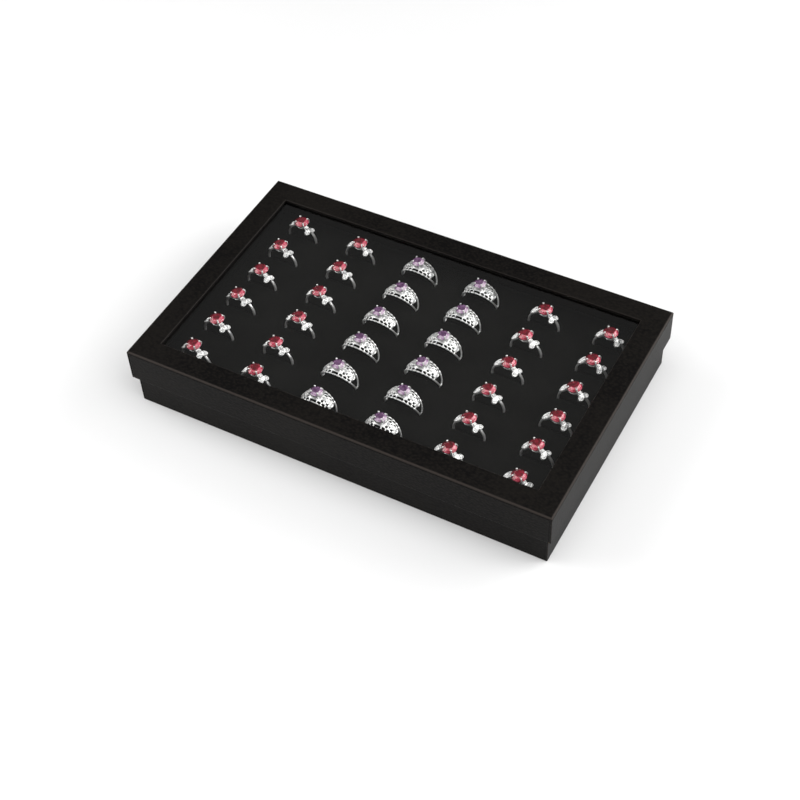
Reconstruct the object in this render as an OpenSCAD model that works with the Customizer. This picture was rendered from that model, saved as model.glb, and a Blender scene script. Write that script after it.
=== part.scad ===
// Ring display box: a lift-off lid with a clear window, a wrapped tray and a slotted
// foam insert that holds thirty-six rings in six columns and six rows.
// Millimetres. The origin is the middle of the underside, +X runs along the long side,
// +Y to the back and +Z up.

/* [Lid] */
// Length of the lid, along X
lid_l = 230; // [220:1:260]
// Width of the lid, along Y
lid_w = 144; // [136:1:170]
// Height of the closed box
box_h = 36; // [36:0.5:42]
// Height of the lid's skirt, from its lower edge to the top
skirt_h = 18.6; // [14:0.2:22]
// Width of the frame round the window
frame_w = 12.5; // [12:0.1:14]
// Thickness of the lid's greyboard
lid_board_t = 1.4; // [1:0.1:1.6]
// Radius of the upright edges
edge_r = 0.6; // [0.4:0.1:0.6]

/* [Base] */
// Free play between the lid's skirt and the base, on each side
lid_play = 0.4; // [0.2:0.1:0.6]
// Thickness of the base's greyboard
base_board_t = 1.8; // [1.4:0.1:2]
// Depth of the paper turned in over the base's rim
base_turn_in = 20; // [12:1:24]

/* [Paper] */
// Thickness of the leather-grain wrapping paper
wrap_t = 0.2; // [0.15:0.05:0.3]
// Thickness of the stay paper in the board's corners
stay_t = 0.15; // [0.1:0.05:0.2]
// Length of each leg of a corner stay
stay_leg = 12; // [8:1:16]

/* [Insert] */
// Height of the velvet above the table
velvet_z = 20; // [18:0.5:21]
// Thickness of the flocked velvet sheet
velvet_t = 0.5; // [0.4:0.1:0.8]
// Thickness of the card under the foam
card_t = 1; // [0.8:0.1:1.5]
// Free play round the insert, on each side
insert_play = 0.3; // [0.2:0.1:0.5]

/* [Ring grid] */
// Columns of rings, along X
columns = 6; // [6:1:6]
// Rows of rings, along Y
rows = 6; // [6:1:6]
// Distance between columns
column_pitch = 36; // [35.4:0.1:36.2]
// Distance between rows
row_pitch = 20.4; // [19.8:0.1:20.5]
// Turn of the whole grid of slits in the insert, in degrees
grid_turn = -1; // [-1.2:0.1:1.2]
// Largest turn of a ring about its own axis, in degrees
ring_turn = 3; // [0:0.5:4]

/* [Ruby rings] */
// Outer radius of the plain shank
ruby_r = 8.9; // [8.6:0.1:9.2]
// Width of the plain shank
ruby_shank_w = 1.6; // [1.4:0.1:1.8]
// Thickness of the plain shank
ruby_shank_t = 1; // [0.9:0.1:1.1]
// Radius of the ruby at its girdle
ruby_stone_r = 3.8; // [3.6:0.1:3.9]

/* [Amethyst rings] */
// Outer radius of the crown of the openwork band
amethyst_r = 10.2; // [10:0.1:10.3]
// Depth of the finger hole's centre under the velvet
amethyst_sink = 0.8; // [0.7:0.1:1]
// Width of the band where it enters the velvet
amethyst_shank_w = 2.8; // [2.6:0.1:3]
// Thickness of the shank
amethyst_shank_t = 1.1; // [1:0.1:1.2]
// Slope of each side rail away from the ring's plane, in degrees
rail_tilt = 21; // [18:1:22]
// Radius of the wire of a side rail
rail_wire_r = 0.5; // [0.4:0.05:0.55]
// Radius of the amethyst at its girdle
amethyst_stone_r = 3.2; // [3:0.1:3.3]

/* [Hidden] */
$fn = 48;
lid_in_l = lid_l - 2 * (2 * wrap_t + lid_board_t);
lid_in_w = lid_w - 2 * (2 * wrap_t + lid_board_t);
skirt_z = box_h - skirt_h;
window_l = lid_l - 2 * frame_w;
window_w = lid_w - 2 * frame_w;
window_turn_in = 5;
skirt_turn_in = 12;
lid_board_z = box_h - wrap_t - lid_board_t;
film_t = 0.2;
film_z = lid_board_z - wrap_t - film_t;
film_margin = 8.7;
tape_w = 3;
lid_liner_t = 0.3;
lid_liner_z = film_z - lid_liner_t;
lid_liner_lip = 0.5;

base_l = lid_in_l - 2 * lid_play;
base_w = lid_in_w - 2 * lid_play;
base_h = lid_liner_z;
base_in_l = base_l - 2 * (2 * wrap_t + base_board_t);
base_in_w = base_w - 2 * (2 * wrap_t + base_board_t);
base_floor_z = wrap_t + base_board_t;
base_liner_t = 0.2;

insert_l = base_in_l - 2 * insert_play;
insert_w = base_in_w - 2 * insert_play;
card_z = base_floor_z + base_liner_t;
foam_z = card_z + card_t;
foam_top = velvet_z - velvet_t;
slit_play = 0.1;
slit_mouth_w = amethyst_shank_w + 1.3;
slit_mouth_z = velvet_z - amethyst_sink - 0.8;
amethyst_offset = [-0.7, 1.2, -amethyst_sink];
claw_r = 0.42;
claw_sides = 6;
bead_r = 0.55;
stone_play = 0.02;

paper_black = "#1c1a18";
board_grey = "#8d8880";
velvet_black = "#141614";
foam_black = "#202220";
silver = "#d9dadd";
ruby_red = "#b3122e";
amethyst_violet = "#8a63b5";
stone_white = "#f2f4f8";

// 1 for a ruby column, 2 for an amethyst column
column_kind = [1, 1, 2, 2, 1, 1];

function column_x(c) = (c - (columns - 1) / 2) * column_pitch;
function row_y(r) = ((rows - 1) / 2 - r) * row_pitch;
// Small turn of one ring in its slit, different for each place in the grid
function turn(c, r) = ring_turn * sin(97 * c + 211 * r + 30);
function ring_r(kind) = kind == 1 ? ruby_r : amethyst_r;
function shank_w(kind) = kind == 1 ? ruby_shank_w : amethyst_shank_w;
// Middle of a ring's finger hole, before the grid is turned
function ring_centre(c, r) =
    [column_x(c), row_y(r), velvet_z] + (column_kind[c] == 1 ? [0, 0, 0] : amethyst_offset);

// ---------------------------------------------------------------- shared shapes

// Flat rectangle with round corners, made of exact squares and circles
module round_rect(l, w, r) {
    square([l - 2 * r, w], center = true);
    square([l, w - 2 * r], center = true);
    for (sx = [-1, 1], sy = [-1, 1])
        translate([sx * (l / 2 - r), sy * (w / 2 - r)]) circle(r = r);
}

// Upright block with round corners from z0 to z1
module block(l, w, z0, z1, r) {
    translate([0, 0, z0]) linear_extrude(z1 - z0) round_rect(l, w, r);
}

// Upright block with square corners from z0 to z1
module slab(l, w, z0, z1) {
    translate([-l / 2, -w / 2, z0]) cube([l, w, z1 - z0]);
}

// Rod from point a to point b with flat sides, as filed wire has
module rod(a, b, r, sides) {
    d = b - a;
    length = norm(d);
    translate(a)
        rotate([0, acos(d[2] / length), atan2(d[1], d[0])])
            cylinder(h = length, r = r, $fn = sides);
}

// Four L-shaped papers round the corners of a board box
module stays(l, w, z0, z1) {
    difference() {
        slab(l, w, z0, z1);
        slab(l - 2 * stay_t, w - 2 * stay_t, z0 - 1, z1 + 1);
        slab(l - 2 * stay_leg, w + 2, z0 - 1, z1 + 1);
        slab(l + 2, w - 2 * stay_leg, z0 - 1, z1 + 1);
    }
}

// ---------------------------------------------------------------- base

module base_corner_stays_shape()
    stays(base_l - 2 * wrap_t, base_w - 2 * wrap_t, base_floor_z, base_h - wrap_t);

module base_board() color(board_grey) {
    difference() {
        slab(base_l - 2 * wrap_t, base_w - 2 * wrap_t, wrap_t, base_h - wrap_t);
        slab(base_in_l + 2 * wrap_t, base_in_w + 2 * wrap_t, base_floor_z, base_h);
        base_corner_stays_shape();
    }
}

module base_corner_stays() color("#b9a888") base_corner_stays_shape();

module base_wrap() color(paper_black) {
    difference() {
        block(base_l, base_w, 0, base_h, edge_r);
        slab(base_l - 2 * wrap_t, base_w - 2 * wrap_t, wrap_t, base_h - base_turn_in);
        slab(base_in_l, base_in_w, wrap_t, base_h + 1);
        difference() {
            slab(base_l - 2 * wrap_t, base_w - 2 * wrap_t, wrap_t, base_h - wrap_t);
            slab(base_in_l + 2 * wrap_t, base_in_w + 2 * wrap_t, 0, base_h);
        }
    }
}

module base_liner() color(paper_black)
    slab(base_in_l + 2 * wrap_t, base_in_w + 2 * wrap_t, base_floor_z, base_floor_z + base_liner_t);

// ---------------------------------------------------------------- insert

// Thin pockets for the buried halves of the rings; a band's pocket has a wider mouth
module slits(z1) rotate([0, 0, grid_turn])
    for (c = [0:columns - 1], r = [0:rows - 1]) {
        kind = column_kind[c];
        radius = ring_r(kind);
        centre = ring_centre(c, r);
        translate([centre[0], centre[1], 0]) {
            slab(2 * (radius + slit_play), shank_w(kind), centre[2] - radius, z1);
            if (kind == 2) slab(2 * (radius + slit_play), slit_mouth_w, slit_mouth_z, z1);
        }
    }

module insert_card() color(board_grey)
    slab(insert_l, insert_w, card_z, foam_z);

module foam_block() color(foam_black) difference() {
    slab(insert_l - 2 * velvet_t, insert_w - 2 * velvet_t, foam_z, foam_top);
    slits(foam_top + 1);
}

module velvet_cover() color(velvet_black) difference() {
    block(insert_l, insert_w, foam_z, velvet_z, edge_r);
    slab(insert_l - 2 * velvet_t, insert_w - 2 * velvet_t, foam_z - 1, foam_top);
    slits(velvet_z + 1);
}

// ---------------------------------------------------------------- lid

module lid_corner_stays_shape()
    stays(lid_l - 2 * wrap_t, lid_w - 2 * wrap_t, skirt_z + wrap_t, lid_board_z);

module lid_board() color(board_grey) difference() {
    slab(lid_l - 2 * wrap_t, lid_w - 2 * wrap_t, skirt_z + wrap_t, box_h - wrap_t);
    slab(lid_in_l + 2 * wrap_t, lid_in_w + 2 * wrap_t, skirt_z, lid_board_z);
    slab(window_l + 2 * wrap_t, window_w + 2 * wrap_t, skirt_z, box_h);
    lid_corner_stays_shape();
}

module lid_corner_stays() color("#b9a888") lid_corner_stays_shape();

module lid_wrap() color(paper_black) {
    difference() {
        block(lid_l, lid_w, skirt_z, box_h, edge_r);
        slab(lid_l - 2 * wrap_t, lid_w - 2 * wrap_t, skirt_z + wrap_t, box_h - wrap_t);
        slab(lid_in_l, lid_in_w, skirt_z - 1, lid_board_z);
        slab(window_l, window_w, lid_board_z, box_h + 1);
    }
    difference() {
        slab(lid_in_l + 2 * wrap_t, lid_in_w + 2 * wrap_t, skirt_z, skirt_z + skirt_turn_in);
        slab(lid_in_l, lid_in_w, skirt_z - 1, skirt_z + skirt_turn_in + 1);
    }
    difference() {
        slab(window_l + 2 * window_turn_in, window_w + 2 * window_turn_in,
             lid_board_z - wrap_t, lid_board_z);
        slab(window_l, window_w, skirt_z, box_h);
    }
    difference() {
        slab(window_l + 2 * wrap_t, window_w + 2 * wrap_t, lid_board_z - wrap_t, box_h);
        slab(window_l, window_w, skirt_z, box_h + 1);
    }
}

module window_film() color("#dfe9ee", 0.25)
    slab(window_l + 2 * film_margin, window_w + 2 * film_margin, film_z, film_z + film_t);

module window_tape() color("#d8d2c0") {
    far_l = window_l + 2 * film_margin;
    far_w = window_w + 2 * film_margin;
    for (s = [-1, 1]) {
        translate([0, s * (far_w - tape_w) / 2, 0])
            slab(far_l - 2 * tape_w - 1, tape_w, film_z + film_t, lid_board_z);
        translate([s * (far_l - tape_w) / 2, 0, 0])
            slab(tape_w, far_w, film_z + film_t, lid_board_z);
    }
}

module lid_liner() color(paper_black) difference() {
    slab(lid_in_l, lid_in_w, lid_liner_z, film_z);
    slab(window_l + 2 * lid_liner_lip, window_w + 2 * lid_liner_lip, lid_liner_z - 1, film_z + 1);
}

// ---------------------------------------------------------------- rings

// Puts a ring's local frame, with its origin in the finger hole's centre, in its slit
module seated(c, r)
    rotate([0, 0, grid_turn])
        translate(ring_centre(c, r)) rotate([0, turn(c, r), 0]) children();

// Local frame on the band: +Z points out of the ring, angle from the crown
module on_band(angle, y, radius)
    rotate([0, angle, 0]) translate([0, y, radius]) children();

// Shank with eased outer edges, all round or from one angle to another
module shank(radius, thickness, width, angle) {
    ease = 0.3;
    rotate([90, 0, 0]) rotate([0, 0, angle == 360 ? 0 : 180])
        rotate_extrude(angle = angle)
            polygon([
                [radius - thickness, -width / 2],
                [radius - ease, -width / 2],
                [radius, -width / 2 + ease],
                [radius, width / 2 - ease],
                [radius - ease, width / 2],
                [radius - thickness, width / 2]
            ]);
}

// Four claws on two gallery rings: each rises beside the stone and bends over its crown
module basket(seat_z, girdle_r, girdle_z) {
    foot = girdle_r * 0.45;
    side = (girdle_r * cos(22.5) + claw_r + stone_play) * sqrt(0.5);
    tip = side - 0.57;
    for (sx = [-1, 1], sy = [-1, 1]) {
        low = [sx * foot, sy * foot, seat_z - 0.4];
        shoulder = [sx * side, sy * side, girdle_z - 0.5];
        bend = [sx * side, sy * side, girdle_z + 0.45];
        end = [sx * tip, sy * tip, girdle_z + 1.25];
        rod(low, shoulder, claw_r, claw_sides);
        rod(shoulder, bend, claw_r, claw_sides);
        rod(bend, end, claw_r, claw_sides);
        translate(end) sphere(r = bead_r);
    }
    gallery(foot * sqrt(2) - 0.5, 1, seat_z - 0.4);
    gallery(girdle_r * 0.62, 0.6, (seat_z + girdle_z) / 2 - 0.3);
}

// Flat wire ring of a basket
module gallery(inner_r, width, z)
    translate([0, 0, z]) difference() {
        cylinder(h = 0.6, r = inner_r + width);
        translate([0, 0, -1]) cylinder(h = 3, r = inner_r);
    }

// Pointed leaf: the overlap of two discs
module leaf(length, width, height) {
    disc_r = (length * length + width * width) / (4 * width);
    intersection_for (s = [-1, 1])
        translate([0, s * (disc_r - width / 2), 0]) cylinder(h = height, r = disc_r);
}

ruby_seat_z = ruby_r - 0.1;
ruby_girdle_z = ruby_r + 2.3;
leaf_angle = -36;
leaf_y = 0.6;
leaf_l = 5.8;
leaf_w = 3.8;
flower_angle = 31;
flower_y = -1;
hub_r = 1.2;
petal_l = 3.9;
petal_w = 2.8;
petal_reach = 1.6;
petal_angles = [50, -85, 175];

module ruby_ring(c, r) color(silver) seated(c, r) {
    shank(ruby_r, ruby_shank_t, ruby_shank_w, 360);
    basket(ruby_seat_z, ruby_stone_r, ruby_girdle_z);
    on_band(leaf_angle, leaf_y, ruby_r - 0.5) rotate([0, 0, 38]) leaf(leaf_l, leaf_w, 1);
    on_band(flower_angle, flower_y, ruby_r - 0.5) {
        cylinder(h = 1, r = hub_r);
        for (a = petal_angles)
            rotate([0, 0, a]) translate([petal_reach, 0, 0]) leaf(petal_l, petal_w, 1);
    }
}

amethyst_seat_z = amethyst_r - 0.3;
amethyst_girdle_z = amethyst_r + 2;
rail_foot = amethyst_shank_w / 2 - rail_wire_r;
rail_r = amethyst_r - rail_wire_r;
rail_sides = 8;
// A strut crosses at each seam between two collets, so it stays clear of their stones
collet_angles = [22.6, 38.7, 52.8];
collet_radii = [1.4, 1.25, 1.05];
collet_sides = 12;
strut_angles = [13.8, 31, 46.3, 59.2];
strut_r = 0.35;
strut_sides = 6;

// Point on a side rail, for an angle from the crown
function rail_point(angle, side) = [
    rail_r * sin(angle),
    side * (rail_foot + rail_r * cos(angle) * sin(rail_tilt)),
    rail_r * cos(angle) * cos(rail_tilt)
];
function crown_point(angle) = [rail_r * sin(angle), 0, rail_r * cos(angle)];

module side_rail(side)
    translate([0, side * rail_foot, 0])
        rotate([90 - side * rail_tilt, 0, 0])
            rotate_extrude(angle = 180)
                translate([rail_r, 0]) circle(r = rail_wire_r, $fn = rail_sides);

module collet(radius) difference() {
    cylinder(h = 1.1, r = radius, $fn = collet_sides);
    translate([0, 0, 0.6]) cylinder(h = 1, r = radius - 0.3, $fn = collet_sides);
}

module amethyst_ring(c, r) color(silver) seated(c, r) {
    shank(amethyst_r, amethyst_shank_t, amethyst_shank_w, 180);
    basket(amethyst_seat_z, amethyst_stone_r, amethyst_girdle_z);
    for (side = [-1, 1]) {
        side_rail(side);
        for (angle = strut_angles, s = [-1, 1])
            rod(rail_point(s * angle, side), crown_point(s * angle), strut_r, strut_sides);
        for (i = [0:len(collet_angles) - 1])
            on_band(side * collet_angles[i], 0, amethyst_r - 1.2) collet(collet_radii[i]);
    }
}

// ---------------------------------------------------------------- stones

// Eight-sided cut stone, girdle at z = 0
module cut_stone(radius, crown, pavilion, sides) {
    rotate_extrude($fn = sides)
        polygon([
            [0, -pavilion],
            [radius, -0.12],
            [radius, 0.12],
            [radius * 0.58, crown],
            [0, crown]
        ]);
}

module rubies(c) color(ruby_red)
    for (r = [0:rows - 1]) seated(c, r)
        translate([0, 0, ruby_girdle_z]) rotate([0, 0, 22.5])
            cut_stone(ruby_stone_r, 1.5, 1.9, 8);

module amethysts(c) color(amethyst_violet)
    for (r = [0:rows - 1]) seated(c, r)
        translate([0, 0, amethyst_girdle_z]) rotate([0, 0, 22.5])
            cut_stone(amethyst_stone_r, 1, 1.6, 8);

// Low domed stone that lies on a petal or in a collet
module small_stone(radius) cylinder(h = 0.5, r1 = radius, r2 = radius * 0.55, $fn = 6);

module petal_stones(first, last) color(stone_white)
    for (c = [first:last], r = [0:rows - 1]) seated(c, r) {
        on_band(leaf_angle, leaf_y, ruby_r + 0.5) rotate([0, 0, 38])
            for (x = [-1.4, 0.9]) translate([x, 0, 0]) small_stone(0.95);
        on_band(flower_angle, flower_y, ruby_r + 0.5) {
            small_stone(0.6);
            for (a = petal_angles)
                rotate([0, 0, a]) translate([petal_reach + 0.15, 0, 0]) small_stone(0.8);
        }
    }

module pave_stones(c) color(stone_white)
    for (r = [0:rows - 1]) seated(c, r)
        for (side = [-1, 1], i = [0:len(collet_angles) - 1])
            on_band(side * collet_angles[i], 0, amethyst_r - 0.6)
                small_stone(collet_radii[i] - 0.3);

// ---------------------------------------------------------------- output

base_board();
base_corner_stays();
base_wrap();
base_liner();
insert_card();
foam_block();
velvet_cover();
lid_board();
lid_corner_stays();
lid_wrap();
window_film();
window_tape();
lid_liner();
for (c = [1, 2, 5, 6], r = [1:6])
    ruby_ring(c - 1, r - 1);
for (c = [3, 4], r = [1:6])
    amethyst_ring(c - 1, r - 1);
for (c = [1, 2, 5, 6])
    rubies(c - 1);
for (c = [3, 4])
    amethysts(c - 1);
for (c = [3, 4])
    pave_stones(c - 1);
petal_stones(0, 1);  // petal_stones_left
petal_stones(4, 5);  // petal_stones_right
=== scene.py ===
"""Dresses the ring display box: a paper-wrapped box with a window lid and a velvet insert of rings.

Everything is in metres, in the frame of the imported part: the origin is the middle of the
underside, +X runs along the long side, +Y to the back and +Z up.
"""

from __future__ import annotations

import functools
import logging
import math
from collections.abc import Iterable, Sequence
from dataclasses import dataclass, field
from enum import Enum

import bmesh
import bpy
from mathutils import Matrix, Vector


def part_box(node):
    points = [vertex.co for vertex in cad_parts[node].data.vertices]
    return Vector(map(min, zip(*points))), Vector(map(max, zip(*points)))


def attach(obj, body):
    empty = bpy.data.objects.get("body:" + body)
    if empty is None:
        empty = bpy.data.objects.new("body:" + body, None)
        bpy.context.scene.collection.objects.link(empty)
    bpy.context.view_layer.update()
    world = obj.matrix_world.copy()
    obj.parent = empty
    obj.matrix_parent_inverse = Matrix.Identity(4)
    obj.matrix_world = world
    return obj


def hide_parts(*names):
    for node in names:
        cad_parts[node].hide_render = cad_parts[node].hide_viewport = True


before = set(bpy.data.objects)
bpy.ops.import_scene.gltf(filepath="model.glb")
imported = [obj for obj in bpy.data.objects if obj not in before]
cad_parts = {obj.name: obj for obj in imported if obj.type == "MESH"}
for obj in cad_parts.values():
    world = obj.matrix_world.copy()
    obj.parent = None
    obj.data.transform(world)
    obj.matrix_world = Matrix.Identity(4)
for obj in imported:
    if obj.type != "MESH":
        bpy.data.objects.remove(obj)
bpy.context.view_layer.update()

LOG = logging.getLogger("ring_display_box")
MM = 0.001
BASE_BODY = "base_tray"
LID_BODY = "lid"
# Mesh attributes: how much painted highlight lies on a wrap's folds, and the painted light and
# shade of a stone's facet.
FOLD_HIGHLIGHT = "fold_highlight"
FACET_LIGHT = "facet"

Colour = tuple[float, float, float, float]
Settings = dict[str, object]


def linear(colour: str) -> Colour:
    """Turns an sRGB hex colour into the linear colour that a shader takes.

    Args:
        colour: six hex digits with a leading hash.

    Returns:
        Red, green, blue and an alpha of one, linear.
    """
    channels = [int(colour[i : i + 2], 16) / 255 for i in (1, 3, 5)]
    red, green, blue = (
        c / 12.92 if c <= 0.04045 else ((c + 0.055) / 1.055) ** 2.4 for c in channels
    )
    return (red, green, blue, 1.0)


# ---------------------------------------------------------------- materials


def add_node(
    tree: bpy.types.NodeTree,
    kind: str,
    settings: Settings | None = None,
    links: dict[str, bpy.types.NodeSocket] | None = None,
) -> bpy.types.Node:
    """Adds one node to a tree.

    Args:
        tree: the material's node tree.
        kind: the node's type name, without the leading "ShaderNode".
        settings: values for the node's own properties or else its inputs, by name or number.
        links: output sockets to join to the node's inputs, by the input's name or number.

    Returns:
        The new node.
    """
    node = tree.nodes.new("ShaderNode" + kind)
    for name, value in (settings or {}).items():
        if name.isdigit():
            node.inputs[int(name)].default_value = value
        elif hasattr(node, name):
            setattr(node, name, value)
        else:
            node.inputs[name].default_value = value
    for name, socket in (links or {}).items():
        tree.links.new(socket, node.inputs[int(name) if name.isdigit() else name])
    return node


@dataclass(frozen=True)
class Finish:
    """A surface finish that builds one procedural material.

    Attributes:
        name: the material's name.
    """

    name: str

    @functools.cache
    def material(self) -> bpy.types.Material:
        """Builds the finish's material the first time, and keeps it for later calls.

        Returns:
            The one material of this finish.
        """
        made = bpy.data.materials.new(self.name)
        made.use_nodes = True
        made.node_tree.nodes.clear()
        surface = self.surface(made.node_tree)
        add_node(made.node_tree, "OutputMaterial", links={"Surface": surface})
        return made

    def surface(self, tree: bpy.types.NodeTree) -> bpy.types.NodeSocket:
        """Builds the shader and returns its output socket."""
        raise NotImplementedError


def object_position(tree: bpy.types.NodeTree) -> bpy.types.NodeSocket:
    """Returns the socket that gives a point's place on the object, in metres."""
    return add_node(tree, "TexCoord").outputs["Object"]


def noise(
    tree: bpy.types.NodeTree,
    size_mm: float,
    detail: float,
    roughness: float = 0.5,
    distortion: float = 0.0,
) -> bpy.types.NodeSocket:
    """Adds a cloudy pattern at a real size.

    Args:
        tree: the material's node tree.
        size_mm: size of one cloud, in millimetres.
        detail: octaves of finer clouds.
        roughness: strength of the finer clouds.
        distortion: how far the clouds are swirled.

    Returns:
        The pattern's value.
    """
    return add_node(
        tree,
        "TexNoise",
        {
            "Scale": 1 / (size_mm * MM),
            "Detail": detail,
            "Roughness": roughness,
            "Distortion": distortion,
        },
        {"Vector": object_position(tree)},
    ).outputs["Fac"]


def bump(
    tree: bpy.types.NodeTree,
    height: bpy.types.NodeSocket,
    strength: float,
    depth_mm: float,
    **more: bpy.types.NodeSocket,
) -> bpy.types.NodeSocket:
    """Raises the surface where a pattern is high.

    Args:
        tree: the material's node tree.
        height: the pattern's value.
        strength: share of the depth that is shown.
        depth_mm: height of the relief, in millimetres.
        more: Normal, the relief that this one lies on, if there is one.

    Returns:
        The normal socket.
    """
    return add_node(
        tree,
        "Bump",
        {"Strength": strength, "Distance": depth_mm * MM},
        {"Height": height, **more},
    ).outputs["Normal"]


def principled(
    tree: bpy.types.NodeTree,
    settings: Settings,
    colour: bpy.types.NodeSocket,
    **more: bpy.types.NodeSocket,
) -> bpy.types.NodeSocket:
    """Adds the shader that ends most of the finishes.

    Args:
        tree: the material's node tree.
        settings: the shader's constant inputs, by name.
        colour: its colour.
        more: sockets for its other inputs, such as Normal, by name.

    Returns:
        The shader's output socket.
    """
    links = {"Base Color": colour, **more}
    return add_node(tree, "BsdfPrincipled", settings, links).outputs["BSDF"]


def two_tone(
    tree: bpy.types.NodeTree,
    factor: bpy.types.NodeSocket,
    dark: str,
    light: str,
    low: float = 0.3,
    high: float = 0.7,
) -> bpy.types.NodeSocket:
    """Blends two colours by a pattern.

    Args:
        tree: the material's node tree.
        factor: the pattern's value.
        dark: sRGB hex colour where the pattern is low.
        light: sRGB hex colour where the pattern is high.
        low: the pattern's value at which the dark colour ends.
        high: the pattern's value at which the light colour begins.

    Returns:
        The colour socket.
    """
    ramp = add_node(tree, "ValToRGB", links={"Fac": factor})
    ramp.color_ramp.elements[0].position = low
    ramp.color_ramp.elements[0].color = linear(dark)
    ramp.color_ramp.elements[1].position = high
    ramp.color_ramp.elements[1].color = linear(light)
    return ramp.outputs["Color"]


@dataclass(frozen=True)
class LeatherGrainPaper(Finish):
    """Wrapping paper embossed with a leather grain and lacquered: satin black pebbles.

    Attributes:
        dark: sRGB colour in the valleys of the grain.
        light: sRGB colour on the pebbles.
        painted_highlight: sRGB colour of the painted highlight on the folds, where the mesh's
            fold_highlight attribute is one.
        grain_mm: width of one pebble. A real one is about 0.7 mm.
        fibre_mm: width of the paper's own fibres.
        sheet_mm: width of the broad unevenness of paper glued on board.
        stretch: scale of the pattern along X, Y and Z. Less than 1 makes it longer.
        roughness: the lacquer's roughness.
    """

    dark: str = "#090808"
    light: str = "#151311"
    painted_highlight: str = "#332e2b"
    grain_mm: float = 1.1
    fibre_mm: float = 0.35
    sheet_mm: float = 45.0
    stretch: tuple[float, float, float] = (0.7, 1.0, 1.0)
    roughness: float = 0.42

    def surface(self, tree: bpy.types.NodeTree) -> bpy.types.NodeSocket:
        """Builds the embossed paper.

        Args:
            tree: the material's node tree.

        Returns:
            The shader's output socket.
        """
        # The pebbles stretch a little along the roll the paper was embossed on.
        stretch = add_node(
            tree, "Mapping", {"Scale": self.stretch}, {"Vector": object_position(tree)}
        )
        pebbles = add_node(
            tree,
            "TexVoronoi",
            {"feature": "SMOOTH_F1", "Scale": 1 / (self.grain_mm * MM), "Smoothness": 0.6},
            {"Vector": stretch.outputs["Vector"]},
        )
        # Broad, faint unevenness of glued paper on board.
        sheet = noise(tree, self.sheet_mm, 2.0)
        tone = add_node(
            tree,
            "Math",
            {"operation": "MULTIPLY"},
            {"0": pebbles.outputs["Distance"], "1": sheet},
        )
        grain = two_tone(tree, tone.outputs["Value"], self.light, self.dark, 0.1, 0.42)
        # The folds are lighter here: a painted highlight, mixed in by the mesh's attribute.
        fold_highlight = add_node(tree, "Attribute", {"attribute_name": FOLD_HIGHLIGHT})
        colour = add_node(
            tree,
            "MixRGB",
            {"Color2": linear(self.painted_highlight)},
            {"Fac": fold_highlight.outputs["Fac"], "Color1": grain},
        ).outputs["Color"]
        # The distance grows from a pebble's middle to its edge, so the relief is inverted.
        emboss = add_node(
            tree,
            "Bump",
            {"Strength": 0.55, "Distance": 0.12 * MM, "invert": True},
            {"Height": pebbles.outputs["Distance"]},
        )
        fibres = noise(tree, self.fibre_mm, 3.0, 0.6)
        tooth = bump(tree, fibres, 0.18, 0.05, Normal=emboss.outputs["Normal"])
        settings = {"Roughness": self.roughness, "IOR": 1.47, "Specular IOR Level": 0.07}
        return principled(tree, settings, colour, Normal=tooth)


@dataclass(frozen=True)
class PlainPaper(Finish):
    """Uncoated paper or board: matt, with short fibres that show as fine flecks.

    Attributes:
        dark: sRGB colour of the darker fibres.
        light: sRGB colour of the lighter fibres.
        fibre_mm: width of one fleck.
    """

    dark: str
    light: str
    fibre_mm: float

    def surface(self, tree: bpy.types.NodeTree) -> bpy.types.NodeSocket:
        """Builds the fibrous paper.

        Args:
            tree: the material's node tree.

        Returns:
            The shader's output socket.
        """
        flecks = noise(tree, self.fibre_mm, 4.0, 0.7)
        colour = two_tone(tree, flecks, self.dark, self.light)
        tooth = bump(tree, flecks, 0.4, 0.05)
        settings = {"Roughness": 0.85, "Specular IOR Level": 0.3}
        return principled(tree, settings, colour, Normal=tooth)


@dataclass(frozen=True)
class FlockedVelvet(Finish):
    """Short nylon pile flocked on cloth: deep black with a soft grey bloom at low angles.

    Attributes:
        dark: sRGB colour of the pile looked into.
        light: sRGB colour of the pile brushed flat.
        pile_mm: size of one tuft. Real flock is finer and is drawn coarser to show.
        patch_mm: size of the patches where the pile leans one way or the other.
        bloom: sRGB colour of the light that the pile's tips catch at low angles.
    """

    dark: str = "#080807"
    light: str = "#111110"
    pile_mm: float = 0.5
    patch_mm: float = 30.0
    bloom: str = "#8e8e88"

    def surface(self, tree: bpy.types.NodeTree) -> bpy.types.NodeSocket:
        """Builds the pile.

        Args:
            tree: the material's node tree.

        Returns:
            The shader's output socket.
        """
        tufts = noise(tree, self.pile_mm, 4.0, 0.65)
        brushed = noise(tree, self.patch_mm, 2.0, distortion=0.6)
        mixed = add_node(
            tree, "Math", {"operation": "MULTIPLY_ADD", "1": 0.4}, {"0": tufts, "2": brushed}
        )
        colour = two_tone(tree, mixed.outputs["Value"], self.dark, self.light, 0.5, 0.9)
        settings = {
            "Roughness": 1.0,
            "Specular IOR Level": 0.05,
            "Sheen Weight": 0.035,
            "Sheen Roughness": 0.45,
            "Sheen Tint": linear(self.bloom),
        }
        return principled(tree, settings, colour, Normal=bump(tree, tufts, 0.6, 0.15))


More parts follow.
